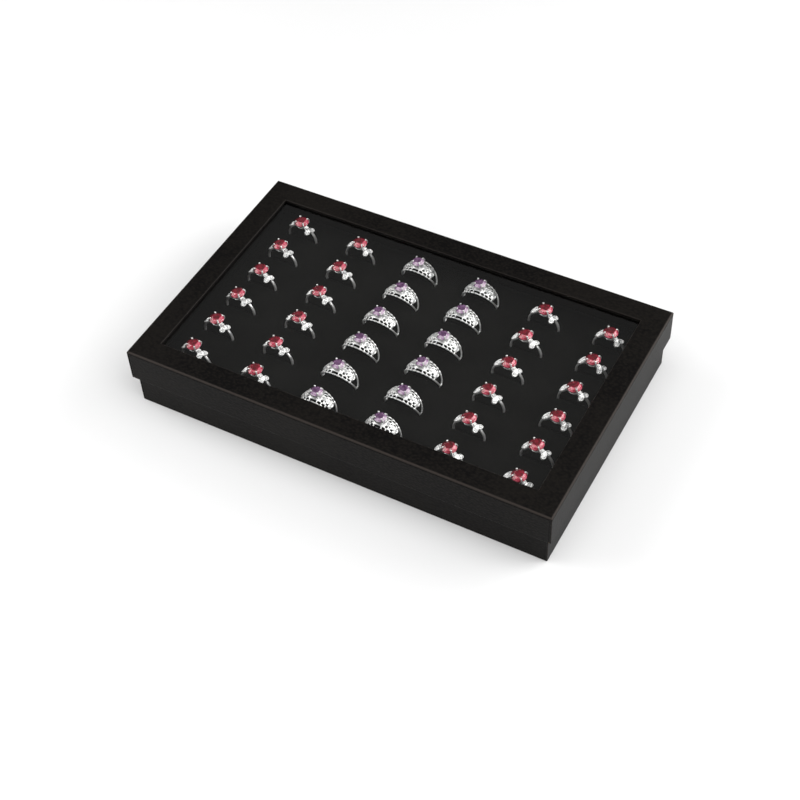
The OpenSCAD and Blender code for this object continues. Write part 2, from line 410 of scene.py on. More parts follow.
@dataclass(frozen=True)
class OpenCellFoam(Finish):
    """Black polyurethane foam: dull, with open cells that show as pits.

    Attributes:
        pit: sRGB colour inside a cell.
        skin: sRGB colour of the walls between the cells.
        cell_mm: width of one cell.
    """

    pit: str = "#0a0a0a"
    skin: str = "#2a2b2a"
    cell_mm: float = 0.6

    def surface(self, tree: bpy.types.NodeTree) -> bpy.types.NodeSocket:
        """Builds the pitted foam.

        Args:
            tree: the material's node tree.

        Returns:
            The shader's output socket.
        """
        cells = add_node(
            tree,
            "TexVoronoi",
            {"Scale": 1 / (self.cell_mm * MM)},
            {"Vector": object_position(tree)},
        )
        wall = cells.outputs["Distance"]
        colour = two_tone(tree, wall, self.pit, self.skin, 0.1, 0.8)
        settings = {"Roughness": 0.95, "Specular IOR Level": 0.2}
        return principled(tree, settings, colour, Normal=bump(tree, wall, 0.8, 0.2))


@dataclass(frozen=True)
class PetFilm(Finish):
    """Thin clear polyester film: seen only by its faint, sharp reflection.

    Attributes:
        tint: sRGB colour of white seen through the film.
        ior: refractive index of the film.
    """

    tint: str = "#f9f9f8"
    ior: float = 1.62

    def surface(self, tree: bpy.types.NodeTree) -> bpy.types.NodeSocket:
        """Builds a clear sheet whose gloss rises at low angles.

        Args:
            tree: the material's node tree.

        Returns:
            The shader's output socket.
        """
        clear = add_node(tree, "BsdfTransparent", {"Color": linear(self.tint)})
        gloss = add_node(tree, "BsdfGlossy", {"Roughness": 0.02, "Color": linear("#ffffff")})
        grazing = add_node(tree, "Fresnel", {"IOR": self.ior})
        # Only the face that light meets first shines; the film doesn't trap light inside.
        side = add_node(tree, "NewGeometry")
        outside = add_node(
            tree, "Math", {"operation": "SUBTRACT", "0": 1.0}, {"1": side.outputs["Backfacing"]}
        )
        shine = add_node(
            tree,
            "Math",
            {"operation": "MULTIPLY"},
            {"0": grazing.outputs["Fac"], "1": outside.outputs["Value"]},
        )
        return add_node(
            tree,
            "MixShader",
            links={
                "0": shine.outputs["Value"],
                "1": clear.outputs["BSDF"],
                "2": gloss.outputs["BSDF"],
            },
        ).outputs["Shader"]


@dataclass(frozen=True)
class TransferTape(Finish):
    """Double-sided tape: a cloudy, pale layer of adhesive.

    Attributes:
        dark: sRGB colour where the adhesive is thick.
        light: sRGB colour where it is thin.
        cloud_mm: size of one cloud.
    """

    dark: str = "#b9b19a"
    light: str = "#d9d3c2"
    cloud_mm: float = 2.0

    def surface(self, tree: bpy.types.NodeTree) -> bpy.types.NodeSocket:
        """Builds the cloudy adhesive.

        Args:
            tree: the material's node tree.

        Returns:
            The shader's output socket.
        """
        colour = two_tone(tree, noise(tree, self.cloud_mm, 2.0), self.dark, self.light)
        return principled(tree, {"Roughness": 0.4}, colour)


@dataclass(frozen=True)
class RhodiumPlate(Finish):
    """Polished rhodium plate over cast metal: bright white, with fine polishing marks.

    Attributes:
        dark: sRGB colour in the recesses the polishing wheel missed.
        light: sRGB colour of the polished plate.
        mark_mm: size of the marks of the polishing wheel.
        stain_mm: size of the patches the wheel missed.
        metallic: below 1, so that even light brightens the metal over the dark velvet.
    """

    dark: str = "#d2d3d6"
    light: str = "#f7f7f8"
    mark_mm: float = 0.25
    stain_mm: float = 2.5
    metallic: float = 0.8

    def surface(self, tree: bpy.types.NodeTree) -> bpy.types.NodeSocket:
        """Builds the polished plate.

        Args:
            tree: the material's node tree.

        Returns:
            The shader's output socket.
        """
        marks = noise(tree, self.mark_mm, 3.0)
        stains = noise(tree, self.stain_mm, 1.0)
        colour = two_tone(tree, stains, self.dark, self.light, 0.25, 0.5)
        haze = add_node(tree, "MapRange", {"To Min": 0.22, "To Max": 0.4}, {"Value": marks})
        scratch = bump(tree, marks, 0.12, 0.02)
        settings = {"Metallic": self.metallic}
        sockets = {"Roughness": haze.outputs["Result"], "Normal": scratch}
        return principled(tree, settings, colour, **sockets)


@dataclass(frozen=True)
class CutStone(Finish):
    """Cut and polished stone: sharp facets, with painted shade on some and a painted highlight on
    others.

    Attributes:
        dark: sRGB colour of the painted shade on the facets that pass light on.
        body: sRGB colour of the stone in even light.
        light: sRGB colour of the painted highlight on the facets that return light.
        zone_mm: size of the patches of colour inside the stone.
        ior: refractive index of the stone.
        clear: share of light that passes through, from 0 to 1.
    """

    dark: str
    body: str
    light: str
    zone_mm: float
    ior: float
    clear: float

    def surface(self, tree: bpy.types.NodeTree) -> bpy.types.NodeSocket:
        """Builds the stone.

        Args:
            tree: the material's node tree.

        Returns:
            The shader's output socket.
        """
        zones = add_node(
            tree,
            "TexVoronoi",
            {"Scale": 1 / (self.zone_mm * MM)},
            {"Vector": object_position(tree)},
        )
        # Each facet's painted light and shade comes from the mesh's tone, shifted by the stone's
        # patches of colour.
        facet = add_node(tree, "Attribute", {"attribute_name": FACET_LIGHT})
        inside = add_node(
            tree,
            "Math",
            {"operation": "MULTIPLY_ADD", "1": -0.25},
            {"0": zones.outputs["Distance"], "2": facet.outputs["Fac"]},
        )
        ramp = add_node(tree, "ValToRGB", links={"Fac": inside.outputs["Value"]})
        ramp.color_ramp.elements[0].color = linear(self.dark)
        ramp.color_ramp.elements[1].color = linear(self.light)
        ramp.color_ramp.elements.new(0.45).color = linear(self.body)
        settings = {
            "Roughness": 0.04,
            "IOR": self.ior,
            "Transmission Weight": self.clear,
            "Coat Weight": 0.3,
            "Coat Roughness": 0.03,
        }
        return principled(tree, settings, ramp.outputs["Color"])


@dataclass(frozen=True)
class StudioPaper(Finish):
    """The white sweep under the box: matt paper with a barely uneven white."""

    def surface(self, tree: bpy.types.NodeTree) -> bpy.types.NodeSocket:
        """Builds the white paper.

        Args:
            tree: the material's node tree.

        Returns:
            The shader's output socket.
        """
        mottle = add_node(
            tree, "TexNoise", {"Scale": 3.0, "Detail": 2.0}, {"Vector": object_position(tree)}
        )
        colour = two_tone(tree, mottle.outputs["Fac"], "#d8d8d8", "#dcdcdc")
        return principled(tree, {"Roughness": 0.9, "Specular IOR Level": 0.1}, colour)


# Satin black pebbles that catch the light on every face of the box.
WRAP_PAPER = LeatherGrainPaper("leather_grain_wrapping_paper")
# Dull grey-brown: the core under the wrap, and the card under the foam.
GREYBOARD = PlainPaper("uncoated_greyboard", "#8a8377", "#a8a194", 0.8)
# Warm brown tape paper on the board's corners.
STAY_PAPER = PlainPaper("kraft_stay_paper", "#9b8255", "#bfa678", 0.6)
# Matt black, duller than the wrap beside it.
BLACK_CARD = PlainPaper("uncoated_black_card", "#0e0e0e", "#1b1b1a", 0.5)
# Deep black that sets off the rings, with only a faint bloom at low angles.
VELVET = FlockedVelvet("black_flocked_velvet")
# Pitted black, seen only in the slits.
FOAM = OpenCellFoam("polyurethane_foam")
# Nothing but a reflection over the rings.
FILM = PetFilm("clear_pet_film")
# Milky strips under the frame.
TAPE = TransferTape("transfer_tape")
# Bright white metal with soft-edged reflections.
PLATE = RhodiumPlate("polished_rhodium_plate")
# Crimson with painted pink highlights, pale violet with painted white highlights, and colourless
# painted sparkle.
RUBY = CutStone("ruby_glass", "#52000e", "#b6123a", "#fb8199", 1.7, 1.77, 0.1)
AMETHYST = CutStone("amethyst_glass", "#4c2a50", "#ac84b0", "#fbeef9", 1.5, 1.55, 0.1)
ZIRCONIA = CutStone("white_zirconia", "#c4c6ca", "#f2f3f4", "#ffffff", 0.7, 2.1, 0.0)


# ---------------------------------------------------------------- shared mesh helpers


def add_object(name: str, data: bpy.types.ID) -> bpy.types.Object:
    """Adds an object to the scene.

    Args:
        name: the object's name.
        data: its mesh, lamp or camera.

    Returns:
        The new object, at the origin.
    """
    made = bpy.data.objects.new(name, data)
    bpy.context.scene.collection.objects.link(made)
    return made


def add_mesh(name: str, bm: bmesh.types.BMesh) -> bpy.types.Object:
    """Adds an object made of a bmesh.

    Args:
        name: the object's name.
        bm: its mesh. It is freed.

    Returns:
        The new object, at the origin.
    """
    mesh = bpy.data.meshes.new(name)
    bm.to_mesh(mesh)
    bm.free()
    return add_object(name, mesh)


def take_modified(pattern: bpy.types.Object) -> bmesh.types.BMesh:
    """Takes the mesh that an object's modifiers make, and removes the object.

    Args:
        pattern: the object with its modifiers.

    Returns:
        The modified mesh.
    """
    bpy.context.view_layer.update()
    done = pattern.evaluated_get(bpy.context.evaluated_depsgraph_get()).to_mesh()
    taken = bmesh.new()
    taken.from_mesh(done)
    mesh = pattern.data
    bpy.data.objects.remove(pattern)
    bpy.data.meshes.remove(mesh)
    return taken


def extrude_border(
    bm: bmesh.types.BMesh, border: Sequence[bmesh.types.BMEdge]
) -> tuple[set[bmesh.types.BMVert], list[bmesh.types.BMEdge]]:
    """Grows a strip of faces from a border, with its new side still on the old one.

    Args:
        bm: the mesh.
        border: edges along the border.

    Returns:
        The strip's new vertices and the new border.
    """
    grown = bmesh.ops.extrude_edge_only(bm, edges=border)["geom"]
    fresh = {g for g in grown if isinstance(g, bmesh.types.BMVert)}
    outer = [g for g in grown if isinstance(g, bmesh.types.BMEdge) and set(g.verts) <= fresh]
    return fresh, outer


def outward(azimuth: float, elevation: float) -> Vector:
    """Returns a direction away from the box.

    Args:
        azimuth: direction round the box, in degrees; 0 is in front, 90 at the right.
        elevation: height over the horizon, in degrees.

    Returns:
        The direction, one unit long.
    """
    a, e = math.radians(azimuth), math.radians(elevation)
    return Vector((math.sin(a) * math.cos(e), -math.cos(a) * math.cos(e), math.sin(e)))


def finish_mesh(
    name: str,
    bm: bmesh.types.BMesh,
    finish: Finish,
    body: str,
    replaced: Sequence[str],
    smooth_degrees: float = 35.0,
) -> bpy.types.Object:
    """Turns a bmesh into a piece of the box.

    Args:
        name: the piece's name.
        bm: its mesh, in metres in the part's frame. It is freed.
        finish: its surface finish.
        body: the moving body it belongs to.
        replaced: the plain nodes it stands for.
        smooth_degrees: edges sharper than this stay crisp.

    Returns:
        The new object.
    """
    piece = add_mesh(name, bm)
    mesh = piece.data
    mesh.materials.append(finish.material())
    mesh.shade_smooth()
    mesh.set_sharp_from_angle(angle=math.radians(smooth_degrees))
    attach(piece, body)
    if replaced:
        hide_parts(*replaced)
    LOG.info("%s: %d faces", name, len(mesh.polygons))
    return piece


def dress(node: str, finish: Finish) -> None:
    """Gives a plain node of the frame its surface finish.

    Args:
        node: the node's name.
        finish: its surface finish.
    """
    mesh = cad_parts[node].data
    mesh.materials.clear()
    mesh.materials.append(finish.material())
    LOG.info("%s: dressed as %s", node, finish.name)


def joined(parts: Iterable[tuple[bmesh.types.BMesh, Matrix]]) -> bmesh.types.BMesh:
    """Copies meshes into one, each moved by its own matrix.

    Args:
        parts: pairs of a mesh and where it goes. The meshes stay as they are.

    Returns:
        The joined mesh.
    """
    whole = bmesh.new()
    scratch = bpy.data.meshes.new("scratch")
    for part, place in parts:
        part.to_mesh(scratch)
        scratch.transform(place)
        whole.from_mesh(scratch)
    bpy.data.meshes.remove(scratch)
    return whole


# ---------------------------------------------------------------- box


@dataclass(frozen=True)
class ProfilePoint:
    """One point of a profile that is carried round the box.

    Attributes:
        inset: distance in from the outline, in millimetres.
        z: height, in millimetres.
        seam: share of the full depth of the seam by each corner.
        highlight: how much painted highlight lies on the point, from 0 to 1.
    """

    inset: float
    z: float
    seam: float = 0.0
    rub: float = 0.0


def rounded(
    corner: tuple[float, float],
    radius: float,
    from_degrees: float,
    to_degrees: float,
    seam: float = 0.0,
    steps: int = 4,
    rub: float = 0.0,
) -> list[ProfilePoint]:
    """Rounds one corner of a profile.

    Args:
        corner: centre of the rounding, as (inset, height) in millimetres.
        radius: radius of the rounding, in millimetres.
        from_degrees: where the arc starts, from the inset's direction.
        to_degrees: where it ends.
        seam: share of the seam's depth on these points.
        steps: pieces of the arc.
        highlight: how much painted highlight lies on the arc's middle.

    Returns:
        The arc's points, in order.
    """
    points = []
    for i in range(steps + 1):
        angle = math.radians(from_degrees + (to_degrees - from_degrees) * i / steps)
        points.append(
            ProfilePoint(
                corner[0] + radius * math.cos(angle),
                corner[1] + radius * math.sin(angle),
                seam,
                rub * math.sin(math.pi * i / steps),
            )
        )
    return points


@dataclass
class WrappedShell:
    """Paper wrapped round a board box, swept as one skin with soft edges.

    Sizes are in millimetres.

    Attributes:
        paper: thickness of the paper.
        edge: radius of the outline's upright edges.
        soft: radius of the folded edges.
        seam_from_corner: where the corner seam starts on the long side.
        seam_width: width of the seam's groove.
        seam_depth: depth of the seam's groove, about the paper's thickness.
        corner_highlight: how much painted highlight lies on the upright edges.
        corner_gap: least room between a groove's point and the upright edge's rounding.
        arc_steps: pieces of each upright edge's rounding.
        crisp_degrees: edges sharper than this stay crisp.
    """

    paper: float = 0.2
    edge: float = 0.4
    soft: float = 0.5
    seam_from_corner: float = 0.35
    seam_width: float = 0.7
    seam_depth: float = 0.17
    corner_highlight: float = 0.5
    corner_gap: float = 0.02
    arc_steps: int = 6
    crisp_degrees: float = 30.0

    def outline(
        self, half_l: float, half_w: float, point: ProfilePoint
    ) -> list[tuple[float, float, float]]:
        """Returns one loop of the outline at a profile point, anticlockwise.

        Args:
            half_l: half the box's length, in millimetres.
            half_w: half the box's width, in millimetres.
            point: the profile point that sets the inset and the seam.

        Returns:
            Points in X and Y, in millimetres, and how much painted highlight lies on each.
        """
        radius = max(self.edge - point.inset, 0.1)
        centre = (half_l - point.inset - radius, half_w - point.inset - radius)
        corner = []
        for i in range(self.arc_steps + 1):
            angle = math.radians(90 * i / self.arc_steps)
            x = centre[0] + radius * math.cos(angle)
            y = centre[1] + radius * math.sin(angle)
            # The upright edges carry a painted highlight, strongest halfway round their rounding.
            painted_highlight = self.corner_highlight * min(point.seam, 1.0) * math.sin(2 * angle)
            corner.append((x, y, max(point.rub, painted_highlight)))
        side_y = half_w - point.inset
        # The groove runs across the long side only: down, along its bottom and up again.
        for share, depth in ((0, 0), (0.3, 1), (0.7, 1), (1, 0)):
            x = half_l - self.edge - self.seam_from_corner - share * self.seam_width
            x = min(x, centre[0] - self.corner_gap * (1 + share))
            corner.append((x, side_y - depth * point.seam * self.seam_depth, point.rub))
        loop = []
        for sx, sy in ((1, 1), (-1, 1), (-1, -1), (1, -1)):
            ordered = corner if sx * sy > 0 else reversed(corner)
            loop += [(sx * x, sy * y, rub) for x, y, rub in ordered]
        return loop

    def sweep(
        self,
        profile: Sequence[ProfilePoint],
        half_l: float,
        half_w: float,
        closed: bool,
    ) -> bmesh.types.BMesh:
        """Carries a profile round the box.

        Args:
            profile: the profile's points, in order.
            half_l: half the box's length, in millimetres.
            half_w: half the box's width, in millimetres.
            closed: whether the last loop joins the first; otherwise both are capped.

        Returns:
            The closed skin, in metres.
        """
        loops = [self.outline(half_l, half_w, point) for point in profile]
        bm = bmesh.new()
        fold_highlight = bm.verts.layers.float.new(FOLD_HIGHLIGHT)
        bmesh.ops.create_circle(bm, segments=len(loops[0]), radius=1)
        bm.verts.ensure_lookup_table()
        current, edges = list(bm.verts), list(bm.edges)
        first_edges = edges
        self.lay(current, loops[0], profile[0].z, fold_highlight)
        for point, loop in zip(profile[1:], loops[1:], strict=True):
            fresh, edges = extrude_border(bm, edges)
            current = [
                next(e.other_vert(v) for e in v.link_edges if e.other_vert(v) in fresh)
                for v in current
            ]
            self.lay(current, loop, point.z, fold_highlight)
        if closed:
            bmesh.ops.bridge_loops(bm, edges=first_edges + edges)
        else:
            bmesh.ops.holes_fill(bm, edges=[e for e in bm.edges if e.is_boundary])
        bmesh.ops.recalc_face_normals(bm, faces=bm.faces)
        return bm

    def cover(self, name: str, skin: bmesh.types.BMesh, body: str, node: str) -> None:
        """Makes the paper wrap from its skin, with its broad faces shaded flat.

        Args:
            name: the piece's name.
            skin: its mesh, in metres. It is freed.
            body: the moving body it belongs to.
            node: the plain node it stands for.
        """
        wrap = finish_mesh(name, skin, WRAP_PAPER, body, [node], self.crisp_degrees)
        flat = wrap.modifiers.new("flat_panels", "WEIGHTED_NORMAL")
        flat.keep_sharp = True

    @staticmethod
    def lay(
        verts: Sequence[bmesh.types.BMVert],
        loop: Sequence[tuple[float, float, float]],
        z: float,
        fold_highlight: bmesh.types.BMLayerItem,
    ) -> None:
        """Lays one loop of vertices on the outline's points at a height.

        Args:
            verts: the loop's vertices, in order.
            loop: points in X and Y, in millimetres, and how much painted highlight lies on each.
            z: the height, in millimetres.
            fold_highlight: the mesh's layer for the painted highlight.
        """
        for vert, (x, y, rub) in zip(verts, loop, strict=True):
            vert.co = (x * MM, y * MM, z * MM)
            vert[fold_highlight] = rub


@dataclass
class Lid(WrappedShell):
    """The lift-off lid: wrapped skirt and frame, window film, tape and liner.

    Sizes are in millimetres.

    Attributes:
        board: thickness of the lid's greyboard.
        window_turn_in: paper turned in under the frame, round the window.
        skirt_turn_in: paper turned up inside the skirt.
        frame_w: width of the frame round the window.
        stay: thickness of the paper stays on the board's corners.
        fold: radius of the top's outer fold, where the board's edge is crushed round.
        crease: depth below the top of the line pressed under that edge.
        crease_w: width of the crease.
        crease_depth: depth of the crease, less than the paper's thickness.
    """

    board: float = 1.4
    window_turn_in: float = 5.0
    skirt_turn_in: float = 12.0
    frame_w: float = 12.5
    stay: float = 0.15
    fold: float = 1.0
    crease: float = 1.3
    crease_w: float = 0.5
    crease_depth: float = 0.18

    def profile(self, skirt_z: float, top_z: float) -> list[ProfilePoint]:
        """Returns the wrap's closed profile, down the inside and up the outside.

        Args:
            skirt_z: height of the skirt's lower edge, in millimetres.
            top_z: height of the lid's top, in millimetres.

        Returns:
            The profile's points, in order.
        """
        paper, soft, fold = self.paper, self.soft, self.fold
        wall = 2 * paper + self.board
        under = top_z - 2 * paper - self.board
        hidden = soft - paper
        turn_in_z = skirt_z + self.skirt_turn_in
        window = self.frame_w
        crease, half_crease = top_z - self.crease, self.crease_w / 2
        half_bottom = 0.3 * half_crease
        return [
            ProfilePoint(wall - paper, turn_in_z),
            ProfilePoint(wall, turn_in_z),
            *rounded((wall - soft, skirt_z + soft), soft, 0, -90),
            # The folds carry a painted highlight: full on the top's outer fold, weaker on the
            # skirt's lower edge and the window's edge.
            *rounded((soft, skirt_z + soft), soft, -90, -180, 1.0, rub=0.3),
            ProfilePoint(0, crease - half_crease, 1.0),
            ProfilePoint(self.crease_depth, crease - half_bottom, 0.2),
            ProfilePoint(self.crease_depth, crease + half_bottom),
            ProfilePoint(0, crease + half_crease),
            *rounded((fold, top_z - fold), fold, 180, 90, steps=8, rub=1.0),
            *rounded((window - soft, top_z - soft), soft, 90, 0, rub=0.3),
            *rounded((window - soft, under + soft), soft, 0, -90),
            ProfilePoint(window - self.window_turn_in, under),
            ProfilePoint(window - self.window_turn_in, under + paper),
            *rounded((window - soft, under + soft), hidden, -90, 0, steps=2),
            *rounded((window - soft, top_z - soft), hidden, 0, 90, steps=2),
            *rounded((fold, top_z - fold), fold - paper, 90, 180, steps=8),
            *rounded((soft, skirt_z + soft), hidden, -180, -90, steps=2),
            *rounded((wall - soft, skirt_z + soft), hidden, -90, 0, steps=2),
        ]

    def board_profile(self, skirt_z: float, top_z: float) -> list[ProfilePoint]:
        """Returns the board's closed profile, up the outside and down the inside.

        Args:
            skirt_z: height of the skirt's lower edge, in millimetres.
            top_z: height of the lid's top, in millimetres.

        Returns:
            The profile's points, in order.
        """
        paper, fold = self.paper, self.fold
        under = top_z - paper - self.board
        side = paper + self.stay
        return [
            ProfilePoint(side, skirt_z + paper),
            ProfilePoint(side, under),
            ProfilePoint(paper, under),
            *rounded((fold, top_z - fold), fold - paper, 180, 90, steps=8),
            ProfilePoint(self.frame_w - paper, top_z - paper),
            ProfilePoint(self.frame_w - paper, under),
            ProfilePoint(paper + self.board, under),
            ProfilePoint(paper + self.board, skirt_z + paper),
        ]

    def build(self) -> None:
        """Builds the wrap and the board and dresses the lid's other pieces."""
        low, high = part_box("lid_wrap")
        heights = (low.z / MM, high.z / MM)
        half = (high.x / MM, high.y / MM)
        skin = self.sweep(self.profile(*heights), *half, closed=True)
        self.cover("lid_paper_wrap", skin, LID_BODY, "lid_wrap")
        core = self.sweep(self.board_profile(*heights), *half, closed=True)
        finish_mesh(
            "lid_greyboard", core, GREYBOARD, LID_BODY, ["lid_board"], self.crisp_degrees
        )
        dress("lid_corner_stays", STAY_PAPER)
        dress("window_film", FILM)
        dress("window_tape", TAPE)
        dress("lid_liner", BLACK_CARD)


@dataclass
class Base(WrappedShell):
    """The base tray: wrapped walls, corner stays and floor liner.

    Sizes are in millimetres.

    Attributes:
        board: thickness of the base's greyboard.
        turn_in: paper turned in over the rim.
    """

    board: float = 1.8
    turn_in: float = 20.0

    def profile(self, top_z: float) -> list[ProfilePoint]:
        """Returns the wrap's open profile, from the floor's upper face to its underside.

        Args:
            top_z: height of the rim, in millimetres.

        Returns:
            The profile's points, in order.
        """
        paper, soft = self.paper, self.soft
        wall = 2 * paper + self.board
        hidden = soft - paper
        turn_in_z = top_z - self.turn_in
        return [
            *rounded((soft, soft), hidden, -90, -180, steps=2),
            *rounded((soft, top_z - soft), hidden, 180, 90, steps=2),
            *rounded((wall - soft, top_z - soft), hidden, 90, 0, steps=2),
            ProfilePoint(wall - paper, turn_in_z),
            ProfilePoint(wall, turn_in_z),
            *rounded((wall - soft, top_z - soft), soft, 0, 90),
            *rounded((soft, top_z - soft), soft, 90, 180),
            ProfilePoint(0, top_z - 3 * soft, 1.0),
            ProfilePoint(0, 2 * soft, 1.0),
            *rounded((soft, soft), soft, 180, 270),
        ]

    def build(self) -> None:
        """Builds the wrap and dresses the base's other pieces."""
        _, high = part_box("base_wrap")
        skin = self.sweep(self.profile(high.z / MM), high.x / MM, high.y / MM, closed=False)
        self.cover("base_paper_wrap", skin, BASE_BODY, "base_wrap")
        dress("base_board", GREYBOARD)
        dress("base_corner_stays", STAY_PAPER)
        dress("base_liner", BLACK_CARD)


# ---------------------------------------------------------------- ring grid and insert


class RingKind(Enum):
    """The two ring designs in the insert."""

    RUBY = "ruby"
    AMETHYST = "amethyst"


@dataclass(frozen=True)
class Shank:
    """The hoop of a ring and how it stands in its slit, in millimetres.

    Attributes:
        radius: outer radius of the hoop.
        thickness: thickness of its metal.
        width: width where it goes into the foam.
        mouth: half the opening in the velvet that it goes through.
        offset: the finger hole's centre, from the slit's place on the velvet.
    """

    radius: float
    thickness: float
    width: float
    mouth: float
    offset: tuple[float, float, float] = (0.0, 0.0, 0.0)


SHANKS = {
    RingKind.RUBY: Shank(8.9, 1.0, 1.6, 0.9),
    RingKind.AMETHYST: Shank(10.2, 1.1, 2.8, 2.1, (-0.7, 1.2, -0.8)),
}


@dataclass(frozen=True)
class RingGrid:
    """Where the rings stand in the insert, in millimetres and degrees.

    Attributes:
        columns: the design in each column, from the left.
        rows: rings in a column.
        column_pitch: distance between columns.
        row_pitch: distance between rows.
        velvet_z: height of the velvet.
        turn: turn of the whole grid about Z.
        largest_turn: largest turn of a ring about its own axis.
    """

    columns: tuple[RingKind, ...] = (
        RingKind.RUBY,
        RingKind.RUBY,
        RingKind.AMETHYST,
        RingKind.AMETHYST,
        RingKind.RUBY,
        RingKind.RUBY,
    )
    rows: int = 6
    column_pitch: float = 36.0
    row_pitch: float = 20.4
    velvet_z: float = 20.0
    turn: float = -1.0
    largest_turn: float = 3.0

    def slit_x(self, column: int) -> float:
        """Returns the place along X of a column's slits; column 0 is at the left."""
        middle = (len(self.columns) - 1) / 2
        return (column - middle) * self.column_pitch + SHANKS[self.columns[column]].offset[0]

    def slit_y(self, column: int, row: int) -> float:
        """Returns the place along Y of one slit; row 0 is at the back."""
        middle = (self.rows - 1) / 2
        return (middle - row) * self.row_pitch + SHANKS[self.columns[column]].offset[1]

    def seat(self, column: int, row: int) -> Matrix:
        """Returns where one ring stands.

        Args:
            column: its column, counted from 0 at the left.
            row: its row, counted from 0 at the back.

        Returns:
            The place and turn of its finger hole's centre, in metres.
        """
        # Uneven steps of angle, so that no two neighbours lean alike.
        uneven = math.sin(math.radians(97 * column + 211 * row + 30))
        turn = self.largest_turn * uneven
        z = self.velvet_z + SHANKS[self.columns[column]].offset[2]
        place = Vector((self.slit_x(column), self.slit_y(column, row), z)) * MM
        return (
            Matrix.Rotation(math.radians(self.turn), 4, "Z")
            @ Matrix.Translation(place)
            @ Matrix.Rotation(math.radians(turn), 4, "Y")
        )


GRID = RingGrid()


